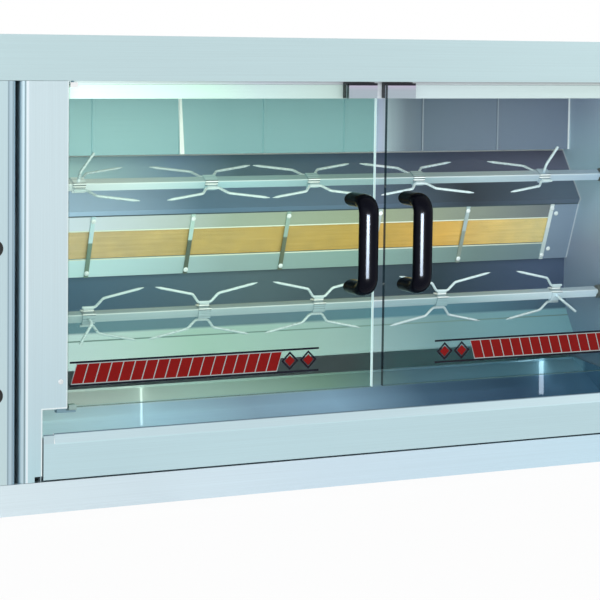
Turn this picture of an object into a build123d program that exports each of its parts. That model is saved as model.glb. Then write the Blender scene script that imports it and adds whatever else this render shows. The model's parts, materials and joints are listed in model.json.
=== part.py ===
from build123d import *
import os
from math import cos, radians, sin

os.makedirs("parts", exist_ok=True)

# Gas rotisserie, in millimetres. X runs to the right, Y to the back and Z up.
# The origin is on the counter, under the middle of the whole machine.

# Case
case_width = 1150.0
case_depth = 460.0
case_height = 600.0
foot_height = 10.0
sheet = 1.5
thin_sheet = 1.0
base_height = 40.0
fascia_height = 57.0
seat = 0.3
shaft_play = 0.05

# How far pieces stand out in front of the fascia and behind the rear panel
handle_reach = 52.5
inlet_reach = 22.0

# Front, from left to right
control_width = 142.0
seam = 4.0
post_width = 63.0
post_foot_width = 30.0
fold_radius = 8.0
return_depth = 25.0

# Doors
glass_thickness = 6.0
glass_recess = 2.5
door_bottom_height = 131.5
door_top_gap = 4.0
door_side_gap = 2.0
door_meeting_gap = 16.0
pivot_inset = 6.0
pivot_pin_radius = 2.0

# Drip drawer
drawer_height = 57.5
drawer_gap = 2.0
drawer_side_gap = 1.5
drawer_lip_height = 13.0
drawer_lip_depth = 6.0
drawer_lip_inset = 14.0
pan_sheet = 1.2

# Cooking cavity, measured from the front and from the top or the bottom of the case
cavity_step = 14.0
ceiling_gap = 14.0
rail_depth = 20.0
rail_return = 12.0
rail_margin = 0.7
catch_height = 18.0
back_wall_depth = 245.0
back_wall_bottom = 434.0
back_wall_panels = 7

# Spits
spit_depth = 137.0
upper_spit_height = 402.0
lower_spit_height = 226.0
upper_spit_turn = 30.0
lower_spit_turn = 20.0
spit_side = 12.0
spit_play = 0.15
journal_radius = 4.0
socket_radius = 11.0
socket_length = 28.0
bush_radius = 10.0
bush_length = 15.0
bush_floor = 2.0

# Forks: distance of the end forks from the walls. The others stand evenly between them,
# each slid to one side by a share of the free room between two sets of tines.
upper_left_fork = 71.5
upper_slides = (0.289, -0.577, -1.025)
upper_right_fork = 115.0
lower_left_fork = 86.0
lower_slides = (-0.509, -0.79, -0.35)
lower_right_fork = 89.5
fork_wire_radius = 1.8
fork_sleeve_side = 15.0
fork_sleeve_length = 18.0
fork_bend_along = 19.0
fork_bend_out = 26.5
fork_tip_along = 67.0
fork_tip_out = 38.0
fork_wire_out = 13.5
fork_wire_bend = 6.0
fork_saddle_length = 14.0
fork_saddle_width = 3.0
fork_saddle_root = 0.5
fork_point_length = 8.0
fork_point_radius = 0.4
lever_wire_radius = 2.0
lever_stem = 20.0
lever_arm = 32.0

# Burners
burner_skin = 1.2
lower_strip = 27.7
ceramic_height = 41.8
ceramic_thickness = 12.0
ceramic_recess = 2.0
ceramic_pitch = 147.6
ceramic_count = 5
ceramic_joint = 0.6
burner_right_margin = 48.0
burner_left_margin = 28.0
strap_width = 6.0
strap_thickness = 1.5

# Controls, measured from the left side and from the bottom of the case
knob_inset = 51.0
button_inset = 113.0
upper_control_height = 336.5
lower_control_height = 153.5
switch_height = 245.0
knob_radius = 22.0
knob_length = 22.0
knob_stand_off = 5.5
push_travel = 4.0
button_travel = 6.0

# Fasteners
screw_radius = 2.0
screw_head_radius = 3.2
screw_head_height = 2.0

# Places worked out from the sizes above
left = -case_width / 2
right = case_width / 2
front = (handle_reach - inlet_reach - case_depth) / 2
rear = front + case_depth
bottom = foot_height
top = bottom + case_height
base_top = bottom + base_height
cover_bottom = top - fascia_height

seam_left = left + control_width
post_left = seam_left + seam
opening_left = post_left + post_width
opening_right = right - post_width
opening_middle = (opening_left + opening_right) / 2
foot_left = post_left + post_foot_width
foot_right = right - post_foot_width
bay_left = foot_left - thin_sheet
bay_right = foot_right + thin_sheet
cavity_left = opening_left - cavity_step
cavity_right = opening_right + cavity_step
cavity_middle = (cavity_left + cavity_right) / 2


def deep(distance):
    """Y of a point this far behind the front of the case."""
    return front + distance


def high(distance):
    """Z of a point this far above the bottom of the case."""
    return bottom + distance


glass_top = cover_bottom - door_top_gap
glass_bottom = high(door_bottom_height)
spit_y = deep(spit_depth)
upper_spit_z = high(upper_spit_height)
lower_spit_z = high(lower_spit_height)
glass_front = deep(glass_recess)
glass_back = glass_front + glass_thickness
glass_middle = glass_front + glass_thickness / 2
ceiling = top - ceiling_gap
catch_bottom = glass_top - catch_height
rail_bottom = catch_bottom - seat - rail_margin


def block(low, top_corner, mode=Mode.ADD):
    """A box between two opposite corners."""
    size = [b - a for a, b in zip(low, top_corner)]
    centre = [(a + b) / 2 for a, b in zip(low, top_corner)]
    with Locations(tuple(centre)):
        Box(*size, mode=mode)


def rod(start, end, radius, mode=Mode.ADD):
    """A round bar from one point to another."""
    axis = Vector(*end) - Vector(*start)
    with BuildSketch(Plane(origin=start, z_dir=axis)) as section:
        Circle(radius)
    extrude(section.sketch, amount=axis.length, mode=mode)


def side_shape(points, x_from, x_to, shrink=0.0, mode=Mode.ADD):
    """A solid with an outline given as (Y, Z) points, drawn in by shrink."""
    with BuildSketch(Plane.YZ.offset(x_from)) as section:
        with BuildLine():
            Polyline(*points, close=True)
        make_face()
        if shrink:
            offset(amount=-shrink, kind=Kind.INTERSECTION)
    extrude(section.sketch, amount=x_to - x_from, mode=mode)


def folded_sheet(plane, points, thickness, length, radii=0.0, mode=Mode.ADD):
    """A sheet folded along the points, with its thickness on the left of the line."""
    with BuildSketch(plane) as section:
        with BuildLine():
            if radii:
                line = FilletPolyline(*points, radius=radii)
            else:
                line = Polyline(*points)
            offset(line, amount=thickness, side=Side.LEFT, kind=Kind.INTERSECTION)
        make_face()
    extrude(section.sketch, amount=length, mode=mode)


def finish(piece, name):
    """Give a finished piece its name and write it."""
    piece.part.label = name
    export_step(piece.part, f"parts/{name}.step")


# Screw places that several pieces share
screw_edge = 20.0
rear_screw_count = 5
rear_screw_pitch = 250.0
side_screw_count = 3
side_screw_pitch = 180.0
case_middle_y = (front + rear) / 2
rear_screw_xs = [(i - (rear_screw_count - 1) / 2) * rear_screw_pitch for i in range(rear_screw_count)]
side_screw_ys = [case_middle_y + (i - (side_screw_count - 1) / 2) * side_screw_pitch
                 for i in range(side_screw_count)]
edge_screw_zs = (bottom + screw_edge, top - screw_edge)
screw_grip = 3 * sheet
post_screw_inset = 9.5
post_screw_height = 166.0


def case_screw_holes():
    """Holes for the case screws in the rear and the two sides."""
    for z in edge_screw_zs:
        for x in rear_screw_xs:
            rod((x, rear - screw_grip, z), (x, rear + sheet, z), screw_radius, Mode.SUBTRACT)
        for y in side_screw_ys:
            rod((left - sheet, y, z), (left + screw_grip, y, z), screw_radius, Mode.SUBTRACT)
            rod((right - screw_grip, y, z), (right + sheet, y, z), screw_radius, Mode.SUBTRACT)


# Base: a shallow pan whose front wall is the lower fascia
base_rim = 12.0
with BuildPart() as base_frame:
    block((left, front, bottom), (right, rear, base_top))
    block((left + sheet, front + sheet, bottom + sheet),
          (right - sheet, rear - sheet, base_top), Mode.SUBTRACT)
    block((left + 2 * sheet, front + sheet, base_top - sheet),
          (right - 2 * sheet, deep(base_rim), base_top))
    case_screw_holes()
finish(base_frame, "base_frame")

# Feet
foot_radius = 18.0
foot_inset = 60.0
foot_taper = 6.0
with BuildPart() as feet:
    with BuildSketch(Plane.XY.offset(bottom)):
        with Locations((0, case_middle_y)):
            with GridLocations(case_width - 2 * foot_inset, case_depth - 2 * foot_inset, 2, 2):
                Circle(foot_radius)
    extrude(amount=-foot_height, taper=foot_taper)
finish(feet, "feet")

# Top cover: its front wall is the upper fascia, and its slots let the flue gas out
slot_length = 44.0
slot_width = 6.0
slot_pitch = 58.0
slot_count = 14
slot_rows = 3
slot_row_pitch = 15.0
flue_depth = 330.0
with BuildPart() as top_cover:
    block((left, front, cover_bottom), (right, rear, top))
    block((left + sheet, front + sheet, cover_bottom),
          (right - sheet, rear - sheet, top - sheet), Mode.SUBTRACT)
    with BuildSketch(Plane.XY.offset(top)):
        with Locations((cavity_middle, deep(flue_depth))):
            with GridLocations(slot_pitch, slot_row_pitch, slot_count, slot_rows):
                SlotOverall(slot_length, slot_width)
    extrude(amount=-sheet, mode=Mode.SUBTRACT)
    case_screw_holes()
finish(top_cover, "top_cover")

# Gas inlet and cable gland, both at the lower left of the rear panel
service_height = 100.0
gland_inset = 95.0
manifold_side = 16.0
valve_width = 30.0
inlet_x = left + knob_inset - valve_width / 2 - manifold_side / 2
inlet_z = high(service_height)
inlet_thread_radius = 10.48
inlet_neck_radius = 9.0
gland_x = left + gland_inset
gland_z = high(service_height)
gland_thread_radius = 8.0
cable_hole_radius = 4.2
panel_low = bottom + sheet
panel_high = top - sheet

# Rear panel, between the side panels
louvre_length = 90.0
louvre_width = 5.0
louvre_pitch = 14.0
louvre_count = 8
rear_louvre_offset = 400.0
rear_louvre_height = 300.0
rear_louvre_z = high(rear_louvre_height)
with BuildPart() as rear_panel:
    block((left + 2 * sheet, rear - 2 * sheet, panel_low), (right - 2 * sheet, rear - sheet, panel_high))
    with BuildSketch(Plane.XZ.offset(-(rear - sheet))):
        with Locations((-rear_louvre_offset, rear_louvre_z), (rear_louvre_offset, rear_louvre_z)):
            with GridLocations(louvre_length, louvre_pitch, 1, louvre_count):
                SlotOverall(louvre_length, louvre_width)
    extrude(amount=sheet, mode=Mode.SUBTRACT)
    for x, z, radius in ((inlet_x, inlet_z, inlet_neck_radius), (gland_x, gland_z, gland_thread_radius)):
        rod((x, rear - 3 * sheet, z), (x, rear, z), radius + seat, Mode.SUBTRACT)
    case_screw_holes()
finish(rear_panel, "rear_panel")

# Side panels, inside the walls of the base and the cover
side_louvre_depth = 325.0
side_louvre_height = 330.0
with BuildPart() as left_side_panel:
    block((left + sheet, front + sheet + seat, panel_low), (left + 2 * sheet, rear - sheet, panel_high))
    with BuildSketch(Plane.YZ.offset(left + sheet)):
        with Locations((deep(side_louvre_depth), high(side_louvre_height))):
            with GridLocations(louvre_length, louvre_pitch, 1, louvre_count):
                SlotOverall(louvre_length, louvre_width)
    extrude(amount=sheet, mode=Mode.SUBTRACT)
    case_screw_holes()
finish(left_side_panel, "left_side_panel")

with BuildPart() as right_side_panel:
    block((right - 2 * sheet, front + fold_radius + seat, panel_low),
          (right - sheet, rear - sheet, panel_high))
    case_screw_holes()
finish(right_side_panel, "right_side_panel")

# Control panel: a sheet folded round at its right edge, beside the dark seam
knob_x = left + knob_inset
button_x = left + button_inset
upper_control_z = high(upper_control_height)
lower_control_z = high(lower_control_height)
switch_x = left + control_width / 2
switch_z = high(switch_height)
switch_width = 20.0
switch_tall = 28.0
spindle_radius = 4.0
spindle_clearance = 1.0
barrel_radius = 8.7
front_low = base_top + seat
front_high = cover_bottom - seat
with BuildPart() as control_panel:
    folded_sheet(Plane.XY.offset(front_low),
                 [(left, deep(return_depth)), (left, front), (seam_left, front),
                  (seam_left, deep(return_depth))],
                 sheet, front_high - front_low, radii=(sheet + seat, fold_radius))
    for z in (upper_control_z, lower_control_z):
        rod((knob_x, front - sheet, z), (knob_x, deep(2 * sheet), z),
            spindle_radius + spindle_clearance, Mode.SUBTRACT)
        rod((button_x, front - sheet, z), (button_x, deep(2 * sheet), z),
            barrel_radius + seat, Mode.SUBTRACT)
    block((switch_x - switch_width / 2, front - sheet, switch_z - switch_tall / 2),
          (switch_x + switch_width / 2, deep(2 * sheet), switch_z + switch_tall / 2), Mode.SUBTRACT)
finish(control_panel, "control_panel")

# Posts beside the doors. The wide part stops at the foot of the door, the folded edge runs on down.
post_return = 12.0
post_foot_rise = 7.0
post_toe_width = 20.0
with BuildPart() as left_post:
    folded_sheet(Plane.XY.offset(front_low),
                 [(post_left, deep(return_depth)), (post_left, front), (opening_left, front),
                  (opening_left, deep(post_return))],
                 sheet, front_high - front_low, radii=(fold_radius, sheet + seat))
    block((foot_left, front - sheet, front_low), (opening_left + sheet, deep(return_depth), glass_bottom),
          Mode.SUBTRACT)
    block((post_left + post_toe_width, front - sheet, front_low),
          (foot_left, deep(2 * sheet), front_low + post_foot_rise), Mode.SUBTRACT)
    rod((opening_left - post_screw_inset, front - sheet, high(post_screw_height)),
        (opening_left - post_screw_inset, deep(2 * sheet), high(post_screw_height)),
        screw_radius, Mode.SUBTRACT)
finish(left_post, "left_post")

with BuildPart() as right_post:
    mirror(left_post.part, about=Plane.YZ.offset(opening_middle))
finish(right_post, "right_post")

# Lower burner: a box whose sloping roof sheds fat and whose face looks forwards and down.
# The depths are behind the front of the case, the heights above its bottom.
face_bottom_depth = 245.0
face_bottom_height = 265.0
face_tilt = 20.2
burner_face_length = 92.7
nose_depth = 208.0
nose_height = 359.5
roof_rear_depth = 262.0
roof_rear_height = 433.0
face_bottom = (deep(face_bottom_depth), high(face_bottom_height))
face_along = (-sin(radians(face_tilt)), cos(radians(face_tilt)))
face_out = (-face_along[1], face_along[0])
lip = (face_bottom[0] + burner_face_length * face_along[0],
       face_bottom[1] + burner_face_length * face_along[1])
nose = (deep(nose_depth), high(nose_height))
roof_rear = (deep(roof_rear_depth), high(roof_rear_height))
box_rear = (deep(roof_rear_depth), high(face_bottom_height))
lower_box = [face_bottom, lip, nose, roof_rear, box_rear]
lower_face = Plane(origin=(cavity_left, *face_bottom), x_dir=(1, 0, 0), z_dir=(0, *face_out))

# Upper burner: the same ceramic face, tilted further down, hung under the ceiling behind the rail
upper_face_depth = 232.0
upper_face_drop = 70.0
upper_face_tilt = 65.0
burner_depth = 26.0
upper_bottom = (deep(upper_face_depth), ceiling - upper_face_drop)
upper_along = (-sin(radians(upper_face_tilt)), cos(radians(upper_face_tilt)))
upper_out = (-upper_along[1], upper_along[0])
upper_top = (upper_bottom[0] + burner_face_length * upper_along[0],
             upper_bottom[1] + burner_face_length * upper_along[1])
upper_box = [upper_bottom, upper_top,
             (upper_top[0] - burner_depth * upper_out[0], upper_top[1] - burner_depth * upper_out[1]),
             (upper_bottom[0] - burner_depth * upper_out[0], upper_bottom[1] - burner_depth * upper_out[1])]
upper_face = Plane(origin=(cavity_left, *upper_bottom), x_dir=(1, 0, 0), z_dir=(0, *upper_out))

# Burner pipes enter the ends of the burners, in the middle of their depth
pipe_rise = 35.0
pipe_radius = 6.0
lower_pipe_y = (face_bottom[0] + pipe_rise / face_along[1] * face_along[0] + box_rear[0]) / 2
lower_pipe_z = face_bottom[1] + pipe_rise
upper_pipe_y = sum(y for y, z in upper_box) / len(upper_box)
upper_pipe_z = sum(z for y, z in upper_box) / len(upper_box)

# Cavity walls. Each steps outwards under the doors, so that the drawer is wider than the cavity.
wall_overrun = 18.0
wall_front = deep(sheet)
wall_rear = deep(back_wall_depth + wall_overrun)
step_z = glass_bottom
flange = 18.0
shaft_hole_radius = 7.0
with BuildPart() as left_inner_wall:
    folded_sheet(Plane.XZ.offset(-wall_rear),
                 [(bay_left, panel_low), (bay_left, step_z), (cavity_left, step_z), (cavity_left, ceiling)],
                 thin_sheet, wall_rear - wall_front)
    block((bay_left - 2 * thin_sheet, wall_front, panel_low),
          (bay_left + thin_sheet, deep(base_rim) + seat, base_top + seat), Mode.SUBTRACT)
    block((cavity_left - thin_sheet - flange, wall_front, step_z),
          (cavity_left, wall_front + thin_sheet, ceiling))
    for z in (upper_spit_z, lower_spit_z):
        rod((cavity_left - 2 * thin_sheet, spit_y, z), (cavity_left + thin_sheet, spit_y, z),
            shaft_hole_radius, Mode.SUBTRACT)
    for y, z in ((lower_pipe_y, lower_pipe_z), (upper_pipe_y, upper_pipe_z)):
        rod((cavity_left - 2 * thin_sheet, y, z), (cavity_left + thin_sheet, y, z),
            pipe_radius + seat, Mode.SUBTRACT)
finish(left_inner_wall, "left_inner_wall")

with BuildPart() as right_inner_wall:
    folded_sheet(Plane.XZ.offset(-wall_rear),
                 [(cavity_right, ceiling), (cavity_right, step_z),
                  (bay_right, step_z), (bay_right, panel_low)],
                 thin_sheet, wall_rear - wall_front)
    block((bay_right - thin_sheet, wall_front, panel_low),
          (bay_right + 2 * thin_sheet, deep(base_rim) + seat, base_top + seat), Mode.SUBTRACT)
    block((cavity_right, wall_front, step_z),
          (cavity_right + thin_sheet + flange, wall_front + thin_sheet, ceiling))
    for z in (upper_spit_z, lower_spit_z):
        rod((cavity_right - thin_sheet, spit_y, z), (cavity_right + 2 * thin_sheet, spit_y, z),
            shaft_hole_radius, Mode.SUBTRACT)
finish(right_inner_wall, "right_inner_wall")

# Ceiling of the cavity. Its front is folded down behind the door glass as a rail.
with BuildPart() as cavity_ceiling:
    folded_sheet(Plane.YZ.offset(cavity_left),
                 [(deep(back_wall_depth), ceiling), (deep(rail_depth), ceiling),
                  (deep(rail_depth), rail_bottom), (deep(rail_depth + rail_return), rail_bottom)],
                 thin_sheet, cavity_right - cavity_left)
finish(cavity_ceiling, "cavity_ceiling")

# Upper back wall, stiffened by a pressed rib between panels
rib_width = 4.0
rib_height = 1.5
rib_taper = 30.0
rib_end = 70.0
rib_top = ceiling - rib_end
rib_bottom = high(back_wall_bottom)
panel_pitch = (cavity_right - cavity_left) / back_wall_panels
with BuildPart() as upper_back_wall:
    block((cavity_left, deep(back_wall_depth), high(back_wall_bottom)),
          (cavity_right, deep(back_wall_depth) + thin_sheet, ceiling))
    with BuildSketch(Plane.XZ.offset(-deep(back_wall_depth))):
        with Locations((cavity_middle, (rib_bottom + rib_top) / 2)):
            with GridLocations(panel_pitch, 1, back_wall_panels - 1, 1):
                Rectangle(rib_width, rib_top - rib_bottom)
    extrude(amount=rib_height, taper=rib_taper)
finish(upper_back_wall, "upper_back_wall")

# Lower back wall: upright under the burner, then folded forward twice, down to the drip edge
wall_top_depth = 252.0
upper_fold_height = 219.0
middle_fold_height = 206.0
lower_fold_height = 187.0
drip_edge_depth = 215.0
drip_edge_height = 142.0
drip_edge_drop = 2.0
with BuildPart() as lower_back_wall:
    folded_sheet(Plane.YZ.offset(cavity_left),
                 [(deep(wall_top_depth), high(face_bottom_height)),
                  (deep(wall_top_depth), high(upper_fold_height)),
                  (deep(back_wall_depth), high(middle_fold_height)),
                  (deep(back_wall_depth), high(lower_fold_height)),
                  (deep(drip_edge_depth), high(drip_edge_height)),
                  (deep(drip_edge_depth), high(drip_edge_height - drip_edge_drop))],
                 thin_sheet, cavity_right - cavity_left)
finish(lower_back_wall, "lower_back_wall")

# Along each face, from the left wall of the cavity
cavity_width = cavity_right - cavity_left
window_left = burner_left_margin
window_right = cavity_width - burner_right_margin
strap_xs = [window_right - i * ceramic_pitch for i in range(ceramic_count + 1)]
strap_screw_inset = 6.5
strap_screw_ys = (strap_screw_inset, burner_face_length - strap_screw_inset)
end_screw_inset = 38.0
end_screw_x = cavity_width - end_screw_inset
end_screw_ys = (17.0, 77.0)
burner_screws = [(x, y) for x in strap_xs for y in strap_screw_ys] + [(end_screw_x, y) for y in end_screw_ys]
tile_edges = [window_left] + sorted(strap_xs)
tiles = list(zip(tile_edges[:-1], tile_edges[1:]))


def burner_housing(outline, face):
    """The burner's box, with a window for the ceramic plates and holes for its screws."""
    side_shape(outline, cavity_left, cavity_right)
    side_shape(outline, cavity_left + burner_skin, cavity_right - burner_skin, burner_skin, Mode.SUBTRACT)
    with BuildSketch(face) as window:
        with Locations(((window_left + window_right) / 2, lower_strip + ceramic_height / 2)):
            Rectangle(window_right - window_left, ceramic_height)
    extrude(window.sketch, amount=-2 * burner_skin, mode=Mode.SUBTRACT)
    with BuildSketch(face) as holes:
        with Locations(*burner_screws):
            Circle(screw_radius)
    extrude(holes.sketch, amount=-2 * burner_skin, mode=Mode.SUBTRACT)


with BuildPart() as lower_burner_housing:
    burner_housing(lower_box, lower_face)
finish(lower_burner_housing, "lower_burner_housing")

with BuildPart() as upper_burner_housing:
    burner_housing(upper_box, upper_face)
finish(upper_burner_housing, "upper_burner_housing")

with BuildPart() as burner_ceramics:
    for face in (lower_face, upper_face):
        with BuildSketch(face.offset(-ceramic_recess)):
            for start, end in tiles:
                with Locations(((start + end) / 2, lower_strip + ceramic_height / 2)):
                    Rectangle(end - start - ceramic_joint, ceramic_height - 2 * seat)
        extrude(amount=-ceramic_thickness)
finish(burner_ceramics, "burner_ceramics")

with BuildPart() as burner_straps:
    for face in (lower_face, upper_face):
        with BuildSketch(face):
            for x in strap_xs:
                with Locations((x, burner_face_length / 2)):
                    Rectangle(strap_width, burner_face_length)
        extrude(amount=strap_thickness)
        with BuildSketch(face):
            with Locations(*burner_screws):
                Circle(screw_radius)
        extrude(amount=2 * strap_thickness, mode=Mode.SUBTRACT)
finish(burner_straps, "burner_straps")

# Door magnets, on the rail behind the catch clips
catch_width = 42.0
clip_skin = 1.5
left_glass_right = opening_middle - door_meeting_gap / 2
right_glass_left = opening_middle + door_meeting_gap / 2
magnet_gap = 0.5
magnet_overrun = 3.0
magnet_front = glass_back + clip_skin + magnet_gap
magnet_bottom = catch_bottom - seat
with BuildPart() as door_magnets:
    for x_low in (left_glass_right - catch_width, right_glass_left):
        block((x_low, magnet_front, magnet_bottom),
              (x_low + catch_width, deep(rail_depth), glass_top + magnet_overrun))
finish(door_magnets, "door_magnets")

# Pivot brackets of the doors: an upper and a lower one for each
left_pivot_x = opening_left + pivot_inset
tongue = 2.5
tongue_reach = 5.0
tongue_side = 5.0
shoe_web = 2.5
shoe_play = 0.4
lower_tongue_top = glass_bottom - shoe_web - shoe_play
bracket_height = 180.0
bracket_plate = 2.5
bracket_gap = 0.5
upper_tongue_rise = 1.0
upper_plate_height = 22.0
upper_tongue_bottom = cover_bottom + upper_tongue_rise
bracket_left = cavity_left
bracket_edge = opening_left - sheet - bracket_gap


def pivot_brackets():
    """The two brackets of the left door."""
    block((bracket_left, wall_front, lower_tongue_top - tongue),
          (left_pivot_x + tongue_reach, glass_middle + tongue_side, lower_tongue_top))
    block((bracket_left, wall_front, lower_tongue_top - tongue),
          (bracket_edge, wall_front + bracket_plate, high(bracket_height)))
    rod((opening_left - post_screw_inset, wall_front - sheet, high(post_screw_height)),
        (opening_left - post_screw_inset, wall_front + 2 * bracket_plate, high(post_screw_height)),
        screw_radius, Mode.SUBTRACT)
    rod((left_pivot_x, glass_middle, lower_tongue_top - tongue),
        (left_pivot_x, glass_middle, glass_bottom - seat), pivot_pin_radius)
    block((bracket_left, wall_front + seat, upper_tongue_bottom),
          (left_pivot_x + tongue_reach, deep(rail_depth), upper_tongue_bottom + tongue))
    block((bracket_left, deep(rail_depth) - bracket_plate, upper_tongue_bottom),
          (left_pivot_x + tongue_reach, deep(rail_depth), upper_tongue_bottom + upper_plate_height))
    rod((left_pivot_x, glass_middle, glass_top + seat),
        (left_pivot_x, glass_middle, upper_tongue_bottom + tongue), pivot_pin_radius)


with BuildPart() as hinge_brackets:
    pivot_brackets()
    mirror(about=Plane.YZ.offset(opening_middle))
finish(hinge_brackets, "hinge_brackets")

# Gas line: inlet thread, pipe to the front, upright manifold and the two valves it carries
valve_front_depth = 12.0
valve_back_depth = 50.0
valve_half_height = 16.0
manifold_depth = 31.0
manifold_overrun = 25.0
hex_length = 8.0
hex_rim = 3.0
valve_front = deep(valve_front_depth)
valve_back = deep(valve_back_depth)
manifold_y = deep(manifold_depth)
with BuildPart() as gas_manifold:
    block((inlet_x - manifold_side / 2, manifold_y - manifold_side / 2, inlet_z - manifold_side / 2),
          (inlet_x + manifold_side / 2, manifold_y + manifold_side / 2, upper_control_z + manifold_overrun))
    rod((inlet_x, manifold_y, inlet_z), (inlet_x, rear - 2 * sheet, inlet_z), manifold_side / 2)
    with BuildSketch(Plane.XZ.offset(-(rear - 2 * sheet))):
        with Locations((inlet_x, inlet_z)):
            RegularPolygon(inlet_thread_radius + hex_rim, 6)
    extrude(amount=hex_length)
    rod((inlet_x, rear - 2 * sheet, inlet_z), (inlet_x, rear, inlet_z), inlet_neck_radius)
    rod((inlet_x, rear, inlet_z), (inlet_x, rear + inlet_reach, inlet_z), inlet_thread_radius)
finish(gas_manifold, "gas_manifold")

spindle_end_depth = 30.0
bottom_play = 2.0
spindle_end = deep(spindle_end_depth)
with BuildPart() as gas_valves:
    for z in (upper_control_z, lower_control_z):
        block((knob_x - valve_width / 2, valve_front, z - valve_half_height),
              (knob_x + valve_width / 2, valve_back, z + valve_half_height))
        rod((knob_x, valve_front, z), (knob_x, spindle_end + push_travel + bottom_play, z),
            spindle_radius + shaft_play, Mode.SUBTRACT)
finish(gas_valves, "gas_valves")

# Burner pipes, from each valve to the end of its burner
pipe_bend = 30.0
with BuildPart() as burner_pipes:
    for valve_z, y, z in ((upper_control_z, upper_pipe_y, upper_pipe_z),
                          (lower_control_z, lower_pipe_y, lower_pipe_z)):
        with BuildLine() as route:
            FilletPolyline((knob_x, valve_back, valve_z), (knob_x, y, valve_z), (knob_x, y, z),
                           (cavity_left, y, z), radius=pipe_bend)
        with BuildSketch(Plane(origin=(knob_x, valve_back, valve_z), z_dir=(0, 1, 0))):
            Circle(pipe_radius)
        sweep(path=route.line)
finish(burner_pipes, "burner_pipes")

# Gearmotors, one for each spit, on the outside of the left cavity wall
gearbox_length = 30.0
gearbox_half_height = 30.0
gearbox_ahead = 50.0
gearbox_behind = 30.0
motor_radius = 29.0
motor_length = 50.0
motor_offset = 22.0
motor_shaft_radius = 5.0
shaft_insert = 20.0
gearbox_right = cavity_left - thin_sheet
with BuildPart() as gearmotors:
    for z in (upper_spit_z, lower_spit_z):
        block((gearbox_right - gearbox_length, spit_y - gearbox_ahead, z - gearbox_half_height),
              (gearbox_right, spit_y + gearbox_behind, z + gearbox_half_height))
        rod((gearbox_right - gearbox_length, spit_y - motor_offset, z),
            (gearbox_right - gearbox_length - motor_length, spit_y - motor_offset, z), motor_radius)
        rod((gearbox_right, spit_y, z), (gearbox_right - shaft_insert - bottom_play, spit_y, z),
            motor_shaft_radius + shaft_play, Mode.SUBTRACT)
finish(gearmotors, "gearmotors")

# Bushes for the right-hand ends of the spits
bush_inner = cavity_right - bush_length
nut_length = 4.0
nut_rim = 1.0
nut_left = cavity_right + thin_sheet
with BuildPart() as spit_bushes:
    for z in (upper_spit_z, lower_spit_z):
        rod((bush_inner, spit_y, z), (cavity_right, spit_y, z), bush_radius)
        rod((cavity_right, spit_y, z), (nut_left, spit_y, z), shaft_hole_radius - seat)
        rod((nut_left, spit_y, z), (nut_left + nut_length, spit_y, z), bush_radius + nut_rim)
        rod((bush_inner, spit_y, z), (cavity_right - bush_floor, spit_y, z),
            journal_radius + shaft_play, Mode.SUBTRACT)
finish(spit_bushes, "spit_bushes")

# Runners that carry the drawer
runner_width = 14.0
runner_height = 13.0
runner_length = 230.0
runner_front = deep(base_rim + drawer_gap)
runner_rear = runner_front + runner_length
pan_bottom = base_top + drawer_gap + sheet + seat
runner_top = pan_bottom - seat
with BuildPart() as drawer_runners:
    block((bay_left, runner_front, runner_top - sheet), (bay_left + runner_width, runner_rear, runner_top))
    block((bay_left, runner_front, runner_top - sheet),
          (bay_left + sheet, runner_rear, runner_top + runner_height))
    mirror(about=Plane.YZ.offset(opening_middle))
finish(drawer_runners, "drawer_runners")

# Igniters: a threaded barrel behind the panel, with a push button in it
bezel_radius = 11.0
bezel_height = 3.0
barrel_length = 40.0
barrel_end = deep(barrel_length)
button_radius = 6.0
button_out = 9.0
button_in = 22.0
button_edge = 1.2
with BuildPart() as igniter_bodies:
    for z in (upper_control_z, lower_control_z):
        rod((button_x, front - bezel_height, z), (button_x, front, z), bezel_radius)
        rod((button_x, front, z), (button_x, barrel_end, z), barrel_radius)
        rod((button_x, front - bezel_height, z),
            (button_x, deep(button_in + button_travel + bottom_play), z),
            button_radius + shaft_play, Mode.SUBTRACT)
finish(igniter_bodies, "igniter_bodies")

# Housing of the motor switch
switch_rim = 2.0
switch_depth = 25.0
rocker_half_width = 6.5
rocker_half_height = 10.5
rocker_gap = 0.5
rocker_well = 15.0
rocker_pin_radius = 1.5
rocker_pin_reach = 1.5
rocker_pin_depth = 3.0
rocker_thickness = 7.0
rocker_inside = 2.5
rocker_tilt = 12.0
rocker_pivot_y = deep(rocker_pin_depth)
hole_x = switch_width / 2
hole_z = switch_tall / 2
well_x = rocker_half_width + rocker_gap
well_z = rocker_half_height + 3 * rocker_gap
pin_x = well_x + rocker_pin_reach
with BuildPart() as motor_switch_housing:
    block((switch_x - hole_x - switch_rim, front - sheet, switch_z - hole_z - switch_rim),
          (switch_x + hole_x + switch_rim, front, switch_z + hole_z + switch_rim))
    block((switch_x - hole_x + seat, front, switch_z - hole_z + seat),
          (switch_x + hole_x - seat, deep(switch_depth), switch_z + hole_z - seat))
    block((switch_x - well_x, front - sheet, switch_z - well_z),
          (switch_x + well_x, deep(rocker_well), switch_z + well_z), Mode.SUBTRACT)
    rod((switch_x - pin_x, rocker_pivot_y, switch_z), (switch_x + pin_x, rocker_pivot_y, switch_z),
        rocker_pin_radius + shaft_play, Mode.SUBTRACT)
finish(motor_switch_housing, "motor_switch_housing")

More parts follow.
